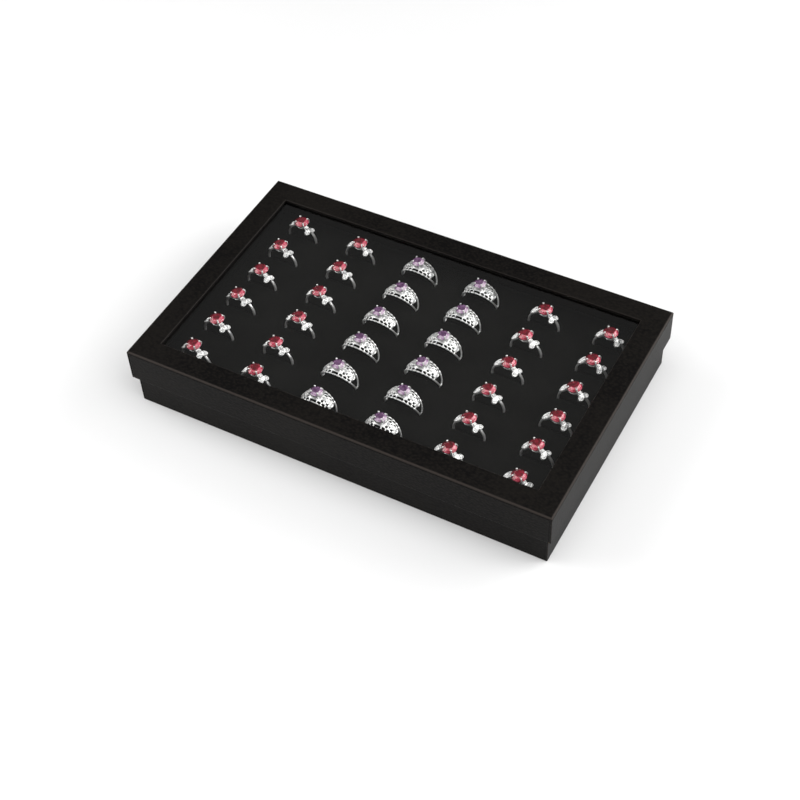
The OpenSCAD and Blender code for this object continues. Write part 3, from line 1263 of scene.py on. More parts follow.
@dataclass
class VelvetInsert:
    """Foam block in flocked velvet, with a puckered slit under every ring.

    Sizes are in millimetres.

    Attributes:
        cloth: thickness of the velvet.
        pucker: depth of a closed slit between its lips.
        lip: half the width over which the velvet rolls into a slit.
        soft: radius of the insert's upper edges.
        soft_steps: mesh lines across that rounding.
        play: room between a shank and the velvet round it.
        slit_reach: how far a slit runs past its shank on each side.
        slit_fade: length over which it closes.
        sag: depth of the broad dip round a slit.
        sag_w: half the width of that dip.
        pull: depth to which a shank drags the velvet down with it.
        pull_w: distance from the shank over which the velvet recovers.
        field: half sizes of the field of slits, which is turned as one piece.
        across: mesh lines on each side of a slit.
        along: mesh lines on each side of a slit's middle.
    """

    cloth: float = 0.5
    pucker: float = 0.8
    lip: float = 1.0
    soft: float = 1.6
    soft_steps: int = 5
    play: float = 0.1
    slit_reach: float = 1.2
    slit_fade: float = 1.6
    sag: float = 0.16
    sag_w: float = 2.6
    pull: float = 0.45
    pull_w: float = 0.8
    field: tuple[float, float] = (103.0, 58.0)
    across: tuple[float, ...] = (0.12, 0.3, 0.5, 0.7, 0.9, 1.15, 1.5, 1.9, 2.5, 3.4, 5.0, 7.2)
    along: tuple[float, ...] = (1.6, 3.2, 4.8, 6.2, 7.0, 7.4, 9.8, 10.3, 11.0, 12.2, 14.0, 16.0)

    def lines(
        self, centres: Sequence[tuple[float, Sequence[float]]], half: float
    ) -> list[float]:
        """Returns grid lines across the insert, close together at each slit.

        Args:
            centres: each slit's place and the lines beside it.
            half: half the insert's size, in millimetres.

        Returns:
            Sorted places of the grid lines, in millimetres.
        """
        found = {-half, half}
        for centre, offsets in centres:
            found.add(round(centre, 3))
            for offset in offsets:
                found |= {round(centre - offset, 3), round(centre + offset, 3)}
        for k in range(1, self.soft_steps):
            angle = math.radians(90 * k / self.soft_steps)
            inset = self.soft * (1 - math.sin(angle))
            found |= {half - inset, inset - half}
        return sorted(x for x in found if abs(x) <= half)

    def fall(self, x: float, y: float) -> float:
        """Works out how far the velvet dips below its flat top.

        Args:
            x: the point's place along X, in millimetres.
            y: its place along Y.

        Returns:
            The depth, in millimetres.
        """
        far_x, far_y = 3.0, 6.0
        dip = 0.0
        for column, kind in enumerate(GRID.columns):
            shank = SHANKS[kind]
            dx = abs(x - GRID.slit_x(column))
            if dx > shank.radius + far_x:
                continue
            for row in range(GRID.rows):
                dy = abs(y - GRID.slit_y(column, row))
                if dy > far_y:
                    continue
                end = (shank.radius + self.slit_reach - dx) / self.slit_fade
                roll = max(0.0, 1 - dy / self.lip) ** 2
                broad = math.exp(-((dy / self.sag_w) ** 2))
                eye = math.exp(-((dx - shank.radius + shank.thickness / 2) ** 2))
                lean = max(0.0, 1 - max(0.0, dy - shank.mouth) / self.pull_w) ** 2
                slit = min(1.0, max(0.0, end)) * (self.pucker * roll + self.sag * broad)
                dip = max(dip, slit, eye * self.pull * lean)
        return dip

    def mesh_lines(self, half_l: float, half_w: float) -> tuple[list[float], list[float]]:
        """Lays out the mesh's lines so that they follow the shanks and the slits.

        Args:
            half_l: half the insert's length, in millimetres.
            half_w: half the insert's width, in millimetres.

        Returns:
            Sorted places of the lines along X and along Y, in millimetres.
        """
        columns = []
        for column, kind in enumerate(GRID.columns):
            shank = SHANKS[kind]
            inner = shank.radius - shank.thickness - self.play
            outer = shank.radius + self.play
            near = (inner - 0.25, inner, (inner + outer) / 2, outer, outer + 0.25)
            clear = [a for a in self.along if not inner - 0.4 < a < outer + 0.4]
            columns.append((GRID.slit_x(column), (*near, *clear)))
        rows = []
        for kind in RingKind:
            column = GRID.columns.index(kind)
            # The ruby rings' lines also serve the amethyst rings, whose slits lie close by.
            beside = self.across if kind is RingKind.RUBY else (0.3,)
            for row in range(GRID.rows):
                rows.append((GRID.slit_y(column, row), (SHANKS[kind].mouth, *beside)))
        return self.lines(columns, half_l), self.lines(rows, half_w)

    def build(self) -> None:
        """Builds the velvet and dresses the foam and the card."""
        low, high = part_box("velvet_cover")
        half_l, half_w = high.x / MM, high.y / MM
        xs, ys = self.mesh_lines(half_l, half_w)
        bm = bmesh.new()
        bmesh.ops.create_grid(
            bm, x_segments=len(xs) - 1, y_segments=len(ys) - 1, size=1.0
        )
        top = high.z / MM
        for vert in bm.verts:
            x = xs[round((vert.co.x + 1) / 2 * (len(xs) - 1))]
            y = ys[round((vert.co.y + 1) / 2 * (len(ys) - 1))]
            z = top - self.fall(x, y)
            for half, value in ((half_l, abs(x)), (half_w, abs(y))):
                over = value - (half - self.soft)
                if over > 0:
                    z -= self.soft - math.sqrt(max(self.soft**2 - over**2, 0))
            vert.co = (x * MM, y * MM, z * MM)
        self.cut_eyes(bm)
        self.turn_field(bm, half_l, half_w)
        self.drop_skirt(bm, low.z, half_l * MM, half_w * MM)
        bmesh.ops.recalc_face_normals(bm, faces=bm.faces)
        cover = finish_mesh(
            "velvet_insert_cover", bm, VELVET, BASE_BODY, ["velvet_cover"], 60
        )
        wall = cover.modifiers.new("cloth_thickness", "SOLIDIFY")
        wall.thickness = self.cloth * MM
        wall.offset = -1
        dress("foam_block", FOAM)
        dress("insert_card", GREYBOARD)

    def cut_eyes(self, bm: bmesh.types.BMesh) -> None:
        """Opens the velvet where each shank goes in.

        Args:
            bm: the velvet's top, in metres.
        """
        gone = []
        for face in bm.faces:
            centre = face.calc_center_median() / MM
            for column, kind in enumerate(GRID.columns):
                shank = SHANKS[kind]
                dx = abs(centre.x - GRID.slit_x(column))
                inner = shank.radius - shank.thickness - self.play
                if not inner < dx < shank.radius + self.play:
                    continue
                if any(
                    abs(centre.y - GRID.slit_y(column, r)) < shank.mouth
                    for r in range(GRID.rows)
                ):
                    gone.append(face)
        bmesh.ops.delete(bm, geom=gone, context="FACES")

    def turn_field(self, bm: bmesh.types.BMesh, half_l: float, half_w: float) -> None:
        """Turns the field of slits with the grid and leaves the insert's border straight.

        Args:
            bm: the velvet's top, in metres.
            half_l: half the insert's length, in millimetres.
            half_w: half the insert's width, in millimetres.
        """
        turn = math.radians(GRID.turn)
        for vert in bm.verts:
            share = 1.0
            for half, inner, value in (
                (half_l, self.field[0], abs(vert.co.x) / MM),
                (half_w, self.field[1], abs(vert.co.y) / MM),
            ):
                edge = half - self.soft
                share *= min(1.0, max(0.0, (edge - value) / (edge - inner)))
            vert.co.xy = Matrix.Rotation(turn * share, 2) @ vert.co.xy

    @staticmethod
    def drop_skirt(
        bm: bmesh.types.BMesh, bottom: float, half_l: float, half_w: float
    ) -> None:
        """Carries the velvet's outer border straight down to the card.

        Args:
            bm: the velvet, in metres.
            bottom: height of the skirt's lower edge.
            half_l: half the insert's length.
            half_w: half the insert's width.
        """
        near = 1e-6
        border = [
            e
            for e in bm.edges
            if e.is_boundary
            and all(
                abs(abs(v.co.x) - half_l) < near or abs(abs(v.co.y) - half_w) < near
                for v in e.verts
            )
        ]
        for _ in range(3):
            fresh, border = extrude_border(bm, border)
            for vert in fresh:
                vert.co.z -= (vert.co.z - bottom) / 2
        for vert in fresh:
            vert.co.z = bottom


# ---------------------------------------------------------------- rings

# A centre stone has eight sides, and is turned by half a side so that claws meet its flats.
HALF_FACET = 22.5


@dataclass
class Casting:
    """Closed shapes of one ring, in millimetres, which are then fused as one casting.

    Attributes:
        bm: the overlapping shapes.
        voxel: size of the grid that fuses them.
        keep: share of the fused faces that is kept.
        claw: radius of a claw's wire.
        claw_foot: depth of a claw's foot under the basket's seat.
        claw_stance: place of the foot from the middle, as a share of the stone's radius.
        claw_swell: thickness of the foot against the rest of the claw.
        claw_rise: heights of a claw's shoulder, bend and tip over the stone's girdle.
        claw_hook: how far its tip reaches in over the stone.
        claw_play: room between a claw and the stone.
        claw_bead: radius of the bead on its tip.
        gallery: radius of the wire rings that join the claws.
        gallery_drop: depth of the lower ring under the basket's seat.
        gallery_share: inner radius of the upper ring, as a share of the stone's radius.
    """

    bm: bmesh.types.BMesh = field(default_factory=bmesh.new)
    voxel: float = 0.16
    keep: float = 0.3
    claw: float = 0.4
    claw_foot: float = 0.4
    claw_stance: float = 0.45
    claw_swell: float = 1.15
    claw_rise: tuple[float, float, float] = (-0.5, 0.45, 1.25)
    claw_hook: float = 0.57
    claw_play: float = 0.04
    claw_bead: float = 0.55
    gallery: float = 0.3
    gallery_drop: float = 0.1
    gallery_share: float = 0.62

    def rod(self, a: Vector, b: Vector, foot: float, tip: float, sides: int = 12) -> None:
        """Adds a tapered wire.

        Args:
            a: centre of its first end.
            b: centre of its other end.
            foot: radius at the first end.
            tip: radius at the other end.
            sides: number of sides.
        """
        along = b - a
        place = Matrix.Translation((a + b) / 2) @ along.to_track_quat("Z", "Y").to_matrix().to_4x4()
        bmesh.ops.create_cone(
            self.bm,
            cap_ends=True,
            segments=sides,
            radius1=foot,
            radius2=tip,
            depth=along.length,
            matrix=place,
        )

    def bead(self, centre: Vector, radius: float) -> None:
        """Adds a round bead of metal.

        Args:
            centre: its centre.
            radius: its radius.
        """
        place = Matrix.Translation(centre)
        bmesh.ops.create_icosphere(self.bm, subdivisions=2, radius=radius, matrix=place)

    def hoop(
        self,
        radius: float,
        wire: tuple[float, float],
        place: Matrix,
        sweep: float = 360.0,
        sides: int = 12,
        steps: int = 48,
    ) -> None:
        """Adds a round or part-round wire in the plane across its local Y axis.

        Args:
            radius: radius of the wire's centre line.
            wire: half sizes of the wire, across the hoop and along its axis.
            place: where the hoop's own frame lies.
            sweep: angle of the arc, from +X towards -Z, in degrees.
            sides: points round the wire.
            steps: pieces round the whole arc.
        """
        whole = sweep >= 360
        ring = bmesh.ops.create_circle(self.bm, cap_ends=not whole, segments=sides, radius=1.0)
        verts = ring["verts"]
        # A superellipse: the flat-sided section of a drawn and filed shank.
        power = 2.6
        for vert in verts:
            reach = (abs(vert.co.x) ** power + abs(vert.co.y) ** power) ** (1 / power)
            vert.co = (
                radius + wire[0] * vert.co.x / reach,
                wire[1] * vert.co.y / reach,
                0,
            )
        edges = list({e for v in verts for e in v.link_edges})
        faces = list({f for v in verts for f in v.link_faces})
        bmesh.ops.spin(
            self.bm,
            geom=verts + edges + faces,
            cent=(0, 0, 0),
            axis=(0, 1, 0),
            angle=math.radians(sweep),
            steps=steps,
            use_merge=whole,
        )
        grown = self.linked(verts[0])
        bmesh.ops.transform(self.bm, matrix=place, verts=grown)

    def linked(self, start: bmesh.types.BMVert) -> list[bmesh.types.BMVert]:
        """Finds a whole connected shape.

        Args:
            start: any vertex of the shape.

        Returns:
            Every vertex that is joined to it.
        """
        seen, ahead = {start}, [start]
        while ahead:
            vert = ahead.pop()
            for edge in vert.link_edges:
                other = edge.other_vert(vert)
                if other not in seen:
                    seen.add(other)
                    ahead.append(other)
        return list(seen)

    def plate(
        self,
        length: float,
        width: float,
        height: float,
        place: Matrix,
        rim: float = 0.0,
        point: float = 1.5,
        sides: int = 24,
    ) -> None:
        """Adds a disc, oval or pointed leaf, with a raised rim where rim is given.

        Args:
            length: its length along local X.
            width: its width along local Y.
            height: its height.
            place: where its own frame lies.
            rim: width of the rim round its sunk middle.
            point: 1 for an oval, more for sharper ends.
            sides: points round the edge.
        """
        made = bmesh.ops.create_circle(self.bm, cap_ends=True, segments=sides, radius=1.0)
        verts = made["verts"]
        for vert in verts:
            share = abs(vert.co.y) ** point
            vert.co = (
                vert.co.x * length / 2,
                math.copysign(share, vert.co.y) * width / 2,
                0,
            )
        face = verts[0].link_faces[0]
        raised = bmesh.ops.extrude_face_region(self.bm, geom=[face])["geom"]
        top = [g for g in raised if isinstance(g, bmesh.types.BMFace)]
        upper = [g for g in raised if isinstance(g, bmesh.types.BMVert)]
        bmesh.ops.translate(self.bm, verts=upper, vec=(0, 0, height))
        if rim:
            bmesh.ops.inset_region(self.bm, faces=top, thickness=rim)
            sunk = bmesh.ops.extrude_face_region(self.bm, geom=top)["geom"]
            bmesh.ops.delete(self.bm, geom=top, context="FACES_ONLY")
            low = [g for g in sunk if isinstance(g, bmesh.types.BMVert)]
            bmesh.ops.translate(self.bm, verts=low, vec=(0, 0, -0.45 * height))
        whole = self.linked(verts[0])
        bmesh.ops.transform(self.bm, matrix=place, verts=whole)

    def basket(self, seat_z: float, girdle_r: float, girdle_z: float) -> None:
        """Adds the basket, whose four claws bend over the centre stone's crown.

        Args:
            seat_z: where the basket stands on the band.
            girdle_r: radius of the stone.
            girdle_z: height of the stone's girdle.
        """
        foot = girdle_r * self.claw_stance
        flat_r = girdle_r * math.cos(math.radians(HALF_FACET))
        side = (flat_r + self.claw + self.claw_play) * math.sqrt(0.5)
        tip = side - self.claw_hook
        shoulder_z, bend_z, tip_z = (girdle_z + rise for rise in self.claw_rise)
        for sx in (-1, 1):
            for sy in (-1, 1):
                low = Vector((sx * foot, sy * foot, seat_z - self.claw_foot))
                shoulder = Vector((sx * side, sy * side, shoulder_z))
                bend = Vector((sx * side, sy * side, bend_z))
                end = Vector((sx * tip, sy * tip, tip_z))
                self.rod(low, shoulder, self.claw * self.claw_swell, self.claw)
                self.rod(shoulder, bend, self.claw, self.claw)
                self.rod(bend, end, self.claw, self.claw)
                self.bead(end, self.claw_bead)
        for radius, z in (
            (foot * math.sqrt(2), seat_z - self.gallery_drop),
            (girdle_r * self.gallery_share + self.gallery, (seat_z + girdle_z) / 2),
        ):
            lying = Matrix.Translation((0, 0, z)) @ Matrix.Rotation(math.pi / 2, 4, "X")
            self.hoop(radius, (self.gallery, self.gallery), lying, sides=10, steps=32)

    def fused(self) -> bmesh.types.BMesh:
        """Fuses the shapes as a casting does, with soft inner corners.

        Returns:
            One closed skin, in millimetres.
        """
        bmesh.ops.recalc_face_normals(self.bm, faces=self.bm.faces)
        pattern = add_mesh("casting", self.bm)
        melt = pattern.modifiers.new("melt", "REMESH")
        melt.mode = "VOXEL"
        melt.voxel_size = self.voxel
        polish = pattern.modifiers.new("polish", "SMOOTH")
        polish.factor = 0.5
        polish.iterations = 3
        thin = pattern.modifiers.new("thin", "DECIMATE")
        thin.ratio = self.keep
        return take_modified(pattern)


def on_band(angle: float, y: float, radius: float, spin: float = 0.0) -> Matrix:
    """Returns a place on a ring's band, with local Z pointing out of the ring.

    Args:
        angle: angle from the crown, in degrees.
        y: place along the ring's axis, in millimetres.
        radius: distance from the finger hole's centre, in millimetres.
        spin: turn about the local Z, in degrees.

    Returns:
        The place and turn, in millimetres.
    """
    return (
        Matrix.Rotation(math.radians(angle), 4, "Y")
        @ Matrix.Translation((0, y, radius))
        @ Matrix.Rotation(math.radians(spin), 4, "Z")
    )


@dataclass(frozen=True)
class Brilliant:
    """A round cut stone, in millimetres.

    Attributes:
        radius: radius of the girdle.
        crown: height of the table over the girdle.
        pavilion: depth of the point under the girdle.
        sides: number of main facets.
        halves: whether each main facet has half facets beside it.
        painted_flashes: painted highlights on some facets: direction and spread in radians, and
            strength.
        painted_shade: painted tone of the facets that return no light, and of the table.
        flicker: difference in painted light between neighbouring facets.
    """

    radius: float
    crown: float
    pavilion: float
    sides: int = 8
    halves: bool = True
    painted_flashes: tuple[tuple[float, float, float], ...] = ((-0.25, 0.75, 0.8), (-1.95, 0.4, 0.62))
    painted_shade: float = 0.22
    flicker: float = 0.14

    def facet_painted_light(self, centre: Vector) -> float:
        """Works out the painted light and shade of one facet.

        Args:
            centre: the facet's middle, with the girdle at z = 0.

        Returns:
            The facet's tone, from 0 to 1.
        """
        if abs(centre.z - self.crown) < 0.01:
            # The table gets painted shade, as it looks down into the dark stone.
            return self.painted_shade
        azimuth = math.atan2(centre.y, centre.x)
        tone = self.painted_shade
        for direction, spread, strength in self.painted_flashes:
            off = math.remainder(azimuth - direction, 2 * math.pi)
            tone += strength * math.exp(-((off / spread) ** 2))
        tone += self.flicker * math.sin(7.3 * azimuth + 5.1 * centre.z + 1.3)
        return min(1.0, max(0.0, tone))

    def mesh(self) -> bmesh.types.BMesh:
        """Builds the stone with its table up and its girdle at z = 0.

        Returns:
            The closed stone, with a tone of painted light and shade in the facet attribute for each
            face.
        """
        bm = bmesh.new()
        # Rings of corners: how many, their reach and height as shares of the radius, and
        # their turn in sides. The girdle comes first and the table last.
        girdle_sides = self.sides * (2 if self.halves else 1)
        rows = [(girdle_sides, 1.0, 0.04, 0.0), (girdle_sides, 1.0, -0.04, 0.0)]
        if self.halves:
            rows.append((self.sides, 0.83, 0.62 * self.crown / self.radius, 0.5))
            rows.append((self.sides, 0.45, -0.58 * self.pavilion / self.radius, 0.5))
        rows.append((self.sides, 0.56, self.crown / self.radius, 0.0))
        for count, reach, height, shift in rows:
            turn = Matrix.Rotation(2 * math.pi * shift / self.sides, 4, "Z")
            bmesh.ops.create_circle(
                bm,
                segments=count,
                radius=reach * self.radius,
                matrix=Matrix.Translation((0, 0, height * self.radius)) @ turn,
            )
        bm.verts.new((0, 0, -self.pavilion))
        bmesh.ops.delete(bm, geom=list(bm.edges), context="EDGES_FACES")
        hull = bmesh.ops.convex_hull(bm, input=list(bm.verts))
        spare = {g for g in hull["geom_interior"] if isinstance(g, bmesh.types.BMVert)}
        bmesh.ops.delete(bm, geom=list(spare), context="VERTS")
        bmesh.ops.dissolve_limit(
            bm, angle_limit=math.radians(1), verts=bm.verts, edges=bm.edges
        )
        bmesh.ops.recalc_face_normals(bm, faces=bm.faces)
        # Each face gets a tone of painted light and shade, by its direction round the stone.
        tone = bm.faces.layers.float.new(FACET_LIGHT)
        for face in bm.faces:
            face[tone] = self.facet_painted_light(face.calc_center_median())
        return bm


@dataclass
class RingDesign:
    """What both ring designs share: where they go, and how they are built.

    Attributes:
        kind: which of the two designs it is.
        shank: the hoop's sizes.
        seat_rise: height of the basket's seat over the band.
        girdle_rise: height of the centre stone's girdle over the band.
        centre_stone: the centre stone's cut.
    """

    kind: RingKind
    shank: Shank
    seat_rise: float
    girdle_rise: float
    centre_stone: Brilliant

    def metal(self) -> bmesh.types.BMesh:
        """Builds the metal of one ring, in millimetres."""
        raise NotImplementedError

    def small_stones(self) -> list[tuple[Brilliant, Matrix]]:
        """Returns the small stones of one ring and their places, in millimetres."""
        raise NotImplementedError

    def columns(self) -> list[int]:
        """Returns the columns that hold this design, counted from 0."""
        return [c for c, kind in enumerate(GRID.columns) if kind is self.kind]

    def build_metal(self) -> None:
        """Builds a ring for each place of this design."""
        pattern = self.metal()
        to_metres = Matrix.Scale(MM, 4)
        for column in self.columns():
            for row in range(GRID.rows):
                place = GRID.seat(column, row) @ to_metres
                node = f"{self.kind.value}_ring_{column + 1}_{row + 1}"
                ring = joined([(pattern, place)])
                finish_mesh(f"{node}_casting", ring, PLATE, BASE_BODY, [node], 60)
        pattern.free()

    def build_centre_stones(self, finish: Finish, plural: str) -> None:
        """Builds the centre stones, one piece for each column.

        Args:
            finish: the stone's finish.
            plural: the stones' name, as in the frame's nodes.
        """
        stone = self.centre_stone.mesh()
        girdle_z = self.shank.radius + self.girdle_rise
        turned = Matrix.Rotation(math.radians(HALF_FACET), 4, "Z")
        local = Matrix.Translation((0, 0, girdle_z)) @ turned
        for column in self.columns():
            node = f"{plural}_{column + 1}"
            places = [
                (stone, GRID.seat(column, row) @ Matrix.Scale(MM, 4) @ local)
                for row in range(GRID.rows)
            ]
            finish_mesh(f"{node}_cut", joined(places), finish, BASE_BODY, [node], 1)
        stone.free()

    def build_small_stones(self, node: str, columns: Sequence[int]) -> None:
        """Builds the small white stones of some columns as one piece.

        Args:
            node: the plain node that the piece stands for.
            columns: the columns, counted from 0.
        """
        cuts = [(stone.mesh(), place) for stone, place in self.small_stones()]
        places = [
            (cut, GRID.seat(column, row) @ Matrix.Scale(MM, 4) @ local)
            for column in columns
            for row in range(GRID.rows)
            for cut, local in cuts
        ]
        finish_mesh(f"{node}_cut", joined(places), ZIRCONIA, BASE_BODY, [node], 1)
        for cut, _ in cuts:
            cut.free()


@dataclass
class RubyRing(RingDesign):
    """A slim ring with a ruby in claws, a leaf on its left and a flower on its right.

    Sizes are in millimetres, and angles in degrees from the crown.

    Attributes:
        kind: see RingDesign.
        shank: see RingDesign.
        seat_rise: see RingDesign.
        girdle_rise: see RingDesign.
        centre_stone: see RingDesign.
        sink: how deep the leaf and the flower are set in the band.
        plate_h: height of the leaf and the petals.
        leaf_angle: place of the leaf along the band.
        leaf_y: its place across the band.
        leaf_spin: its turn on the band.
        leaf_size: its length and width.
        leaf_stones: places of its stones along it.
        midrib: places of the beads along its middle.
        midrib_bead: radius of those beads.
        leaf_cut: cut of its stones.
        flower_angle: place of the flower along the band.
        flower_y: its place across the band.
        hub_size: width and height of its middle.
        hub_cut: cut of the stone in its middle.
        petal_spins: turns of its petals.
        petal_size: length and width of a petal.
        petal_reach: distance from the flower's middle to a petal's.
        petal_bead: place of a petal's bead past its middle, and its radius.
        petal_cut: cut of the stone on a petal.
        shoulders: places and radii of the swellings where the band meets leaf and flower.
        stones_rise: height of the small stones over the band.
    """

    kind: RingKind = RingKind.RUBY
    shank: Shank = SHANKS[RingKind.RUBY]
    seat_rise: float = -0.1
    girdle_rise: float = 2.3
    centre_stone: Brilliant = Brilliant(3.8, 1.5, 1.9)
    sink: float = 0.5
    plate_h: float = 1.15
    leaf_angle: float = -36.0
    leaf_y: float = 0.6
    leaf_spin: float = 38.0
    leaf_size: tuple[float, float] = (5.9, 4.5)
    leaf_stones: tuple[float, ...] = (-1.4, 0.9)
    midrib: tuple[float, ...] = (-2.5, -0.25, 2.1)
    midrib_bead: float = 0.34
    leaf_cut: Brilliant = Brilliant(1.15, 0.55, 0.4, 6, halves=False)
    flower_angle: float = 31.0
    flower_y: float = -1.0
    hub_size: tuple[float, float] = (2.4, 1.1)
    hub_cut: Brilliant = Brilliant(0.6, 0.35, 0.3, 6, halves=False)
    petal_spins: tuple[float, ...] = (50.0, -85.0, 175.0)
    petal_size: tuple[float, float] = (3.9, 2.8)
    petal_reach: float = 1.6
    petal_bead: tuple[float, float] = (1.45, 0.3)
    petal_cut: Brilliant = Brilliant(0.8, 0.38, 0.35, 6, halves=False)
    shoulders: tuple[tuple[float, float], ...] = ((-36, 0.9), (-22, 0.7), (22, 0.7), (34, 0.8))
    stones_rise: float = 0.32

    def metal(self) -> bmesh.types.BMesh:
        """Builds the band, the basket, the leaf and the flower as one casting.

        Returns:
            The metal of one ring, in millimetres.
        """
        cast = Casting()
        shank = self.shank
        mid = shank.radius - shank.thickness / 2
        cast.hoop(mid, (shank.thickness / 2, shank.width / 2), Matrix(), steps=72)
        cast.basket(
            shank.radius + self.seat_rise,
            self.centre_stone.radius,
            shank.radius + self.girdle_rise,
        )
        low = shank.radius - self.sink
        bead_z = 1.0
        leaf = on_band(self.leaf_angle, self.leaf_y, low, self.leaf_spin)
        cast.plate(*self.leaf_size, self.plate_h, leaf, rim=0.32, point=1.4)
        # A midrib of beads runs down the leaf, between the stones.
        for x in self.midrib:
            cast.bead(leaf @ Vector((x, 0, bead_z)), self.midrib_bead)
        flower = on_band(self.flower_angle, self.flower_y, low)
        hub_w, hub_h = self.hub_size
        cast.plate(hub_w, hub_w, hub_h, flower, point=1.0)
        past, bead_r = self.petal_bead
        for spin in self.petal_spins:
            turned = flower @ Matrix.Rotation(math.radians(spin), 4, "Z")
            reach = turned @ Matrix.Translation((self.petal_reach, 0, 0))
            cast.plate(*self.petal_size, self.plate_h, reach, rim=0.28, point=1.2)
            cast.bead(turned @ Vector((self.petal_reach + past, 0, bead_z)), bead_r)
        for angle, radius in self.shoulders:
            cast.bead(on_band(angle, 0, mid).translation, radius)
        return cast.fused()

    def small_stones(self) -> list[tuple[Brilliant, Matrix]]:
        """Places the stones of the leaf, of the flower's middle and of its petals.

        Returns:
            Each stone of one ring with its place, in millimetres.
        """
        top = self.shank.radius + self.stones_rise
        leaf = on_band(self.leaf_angle, self.leaf_y, top, self.leaf_spin)
        flower = on_band(self.flower_angle, self.flower_y, top)
        found = [
            (self.leaf_cut, leaf @ Matrix.Translation((x, 0, 0))) for x in self.leaf_stones
        ]
        hub_rise, petal_shift = 0.2, 0.15
        found.append((self.hub_cut, flower @ Matrix.Translation((0, 0, hub_rise))))
        for spin in self.petal_spins:
            turned = flower @ Matrix.Rotation(math.radians(spin), 4, "Z")
            outward_by = Matrix.Translation((self.petal_reach + petal_shift, 0, 0))
            found.append((self.petal_cut, turned @ outward_by))
        return found

    def build(self) -> None:
        """Builds every ruby ring with its stones."""
        self.build_metal()
        self.build_centre_stones(RUBY, "rubies")
        left = [c for c in self.columns() if c < len(GRID.columns) / 2]
        right = [c for c in self.columns() if c not in left]
        self.build_small_stones("petal_stones_left", left)
        self.build_small_stones("petal_stones_right", right)


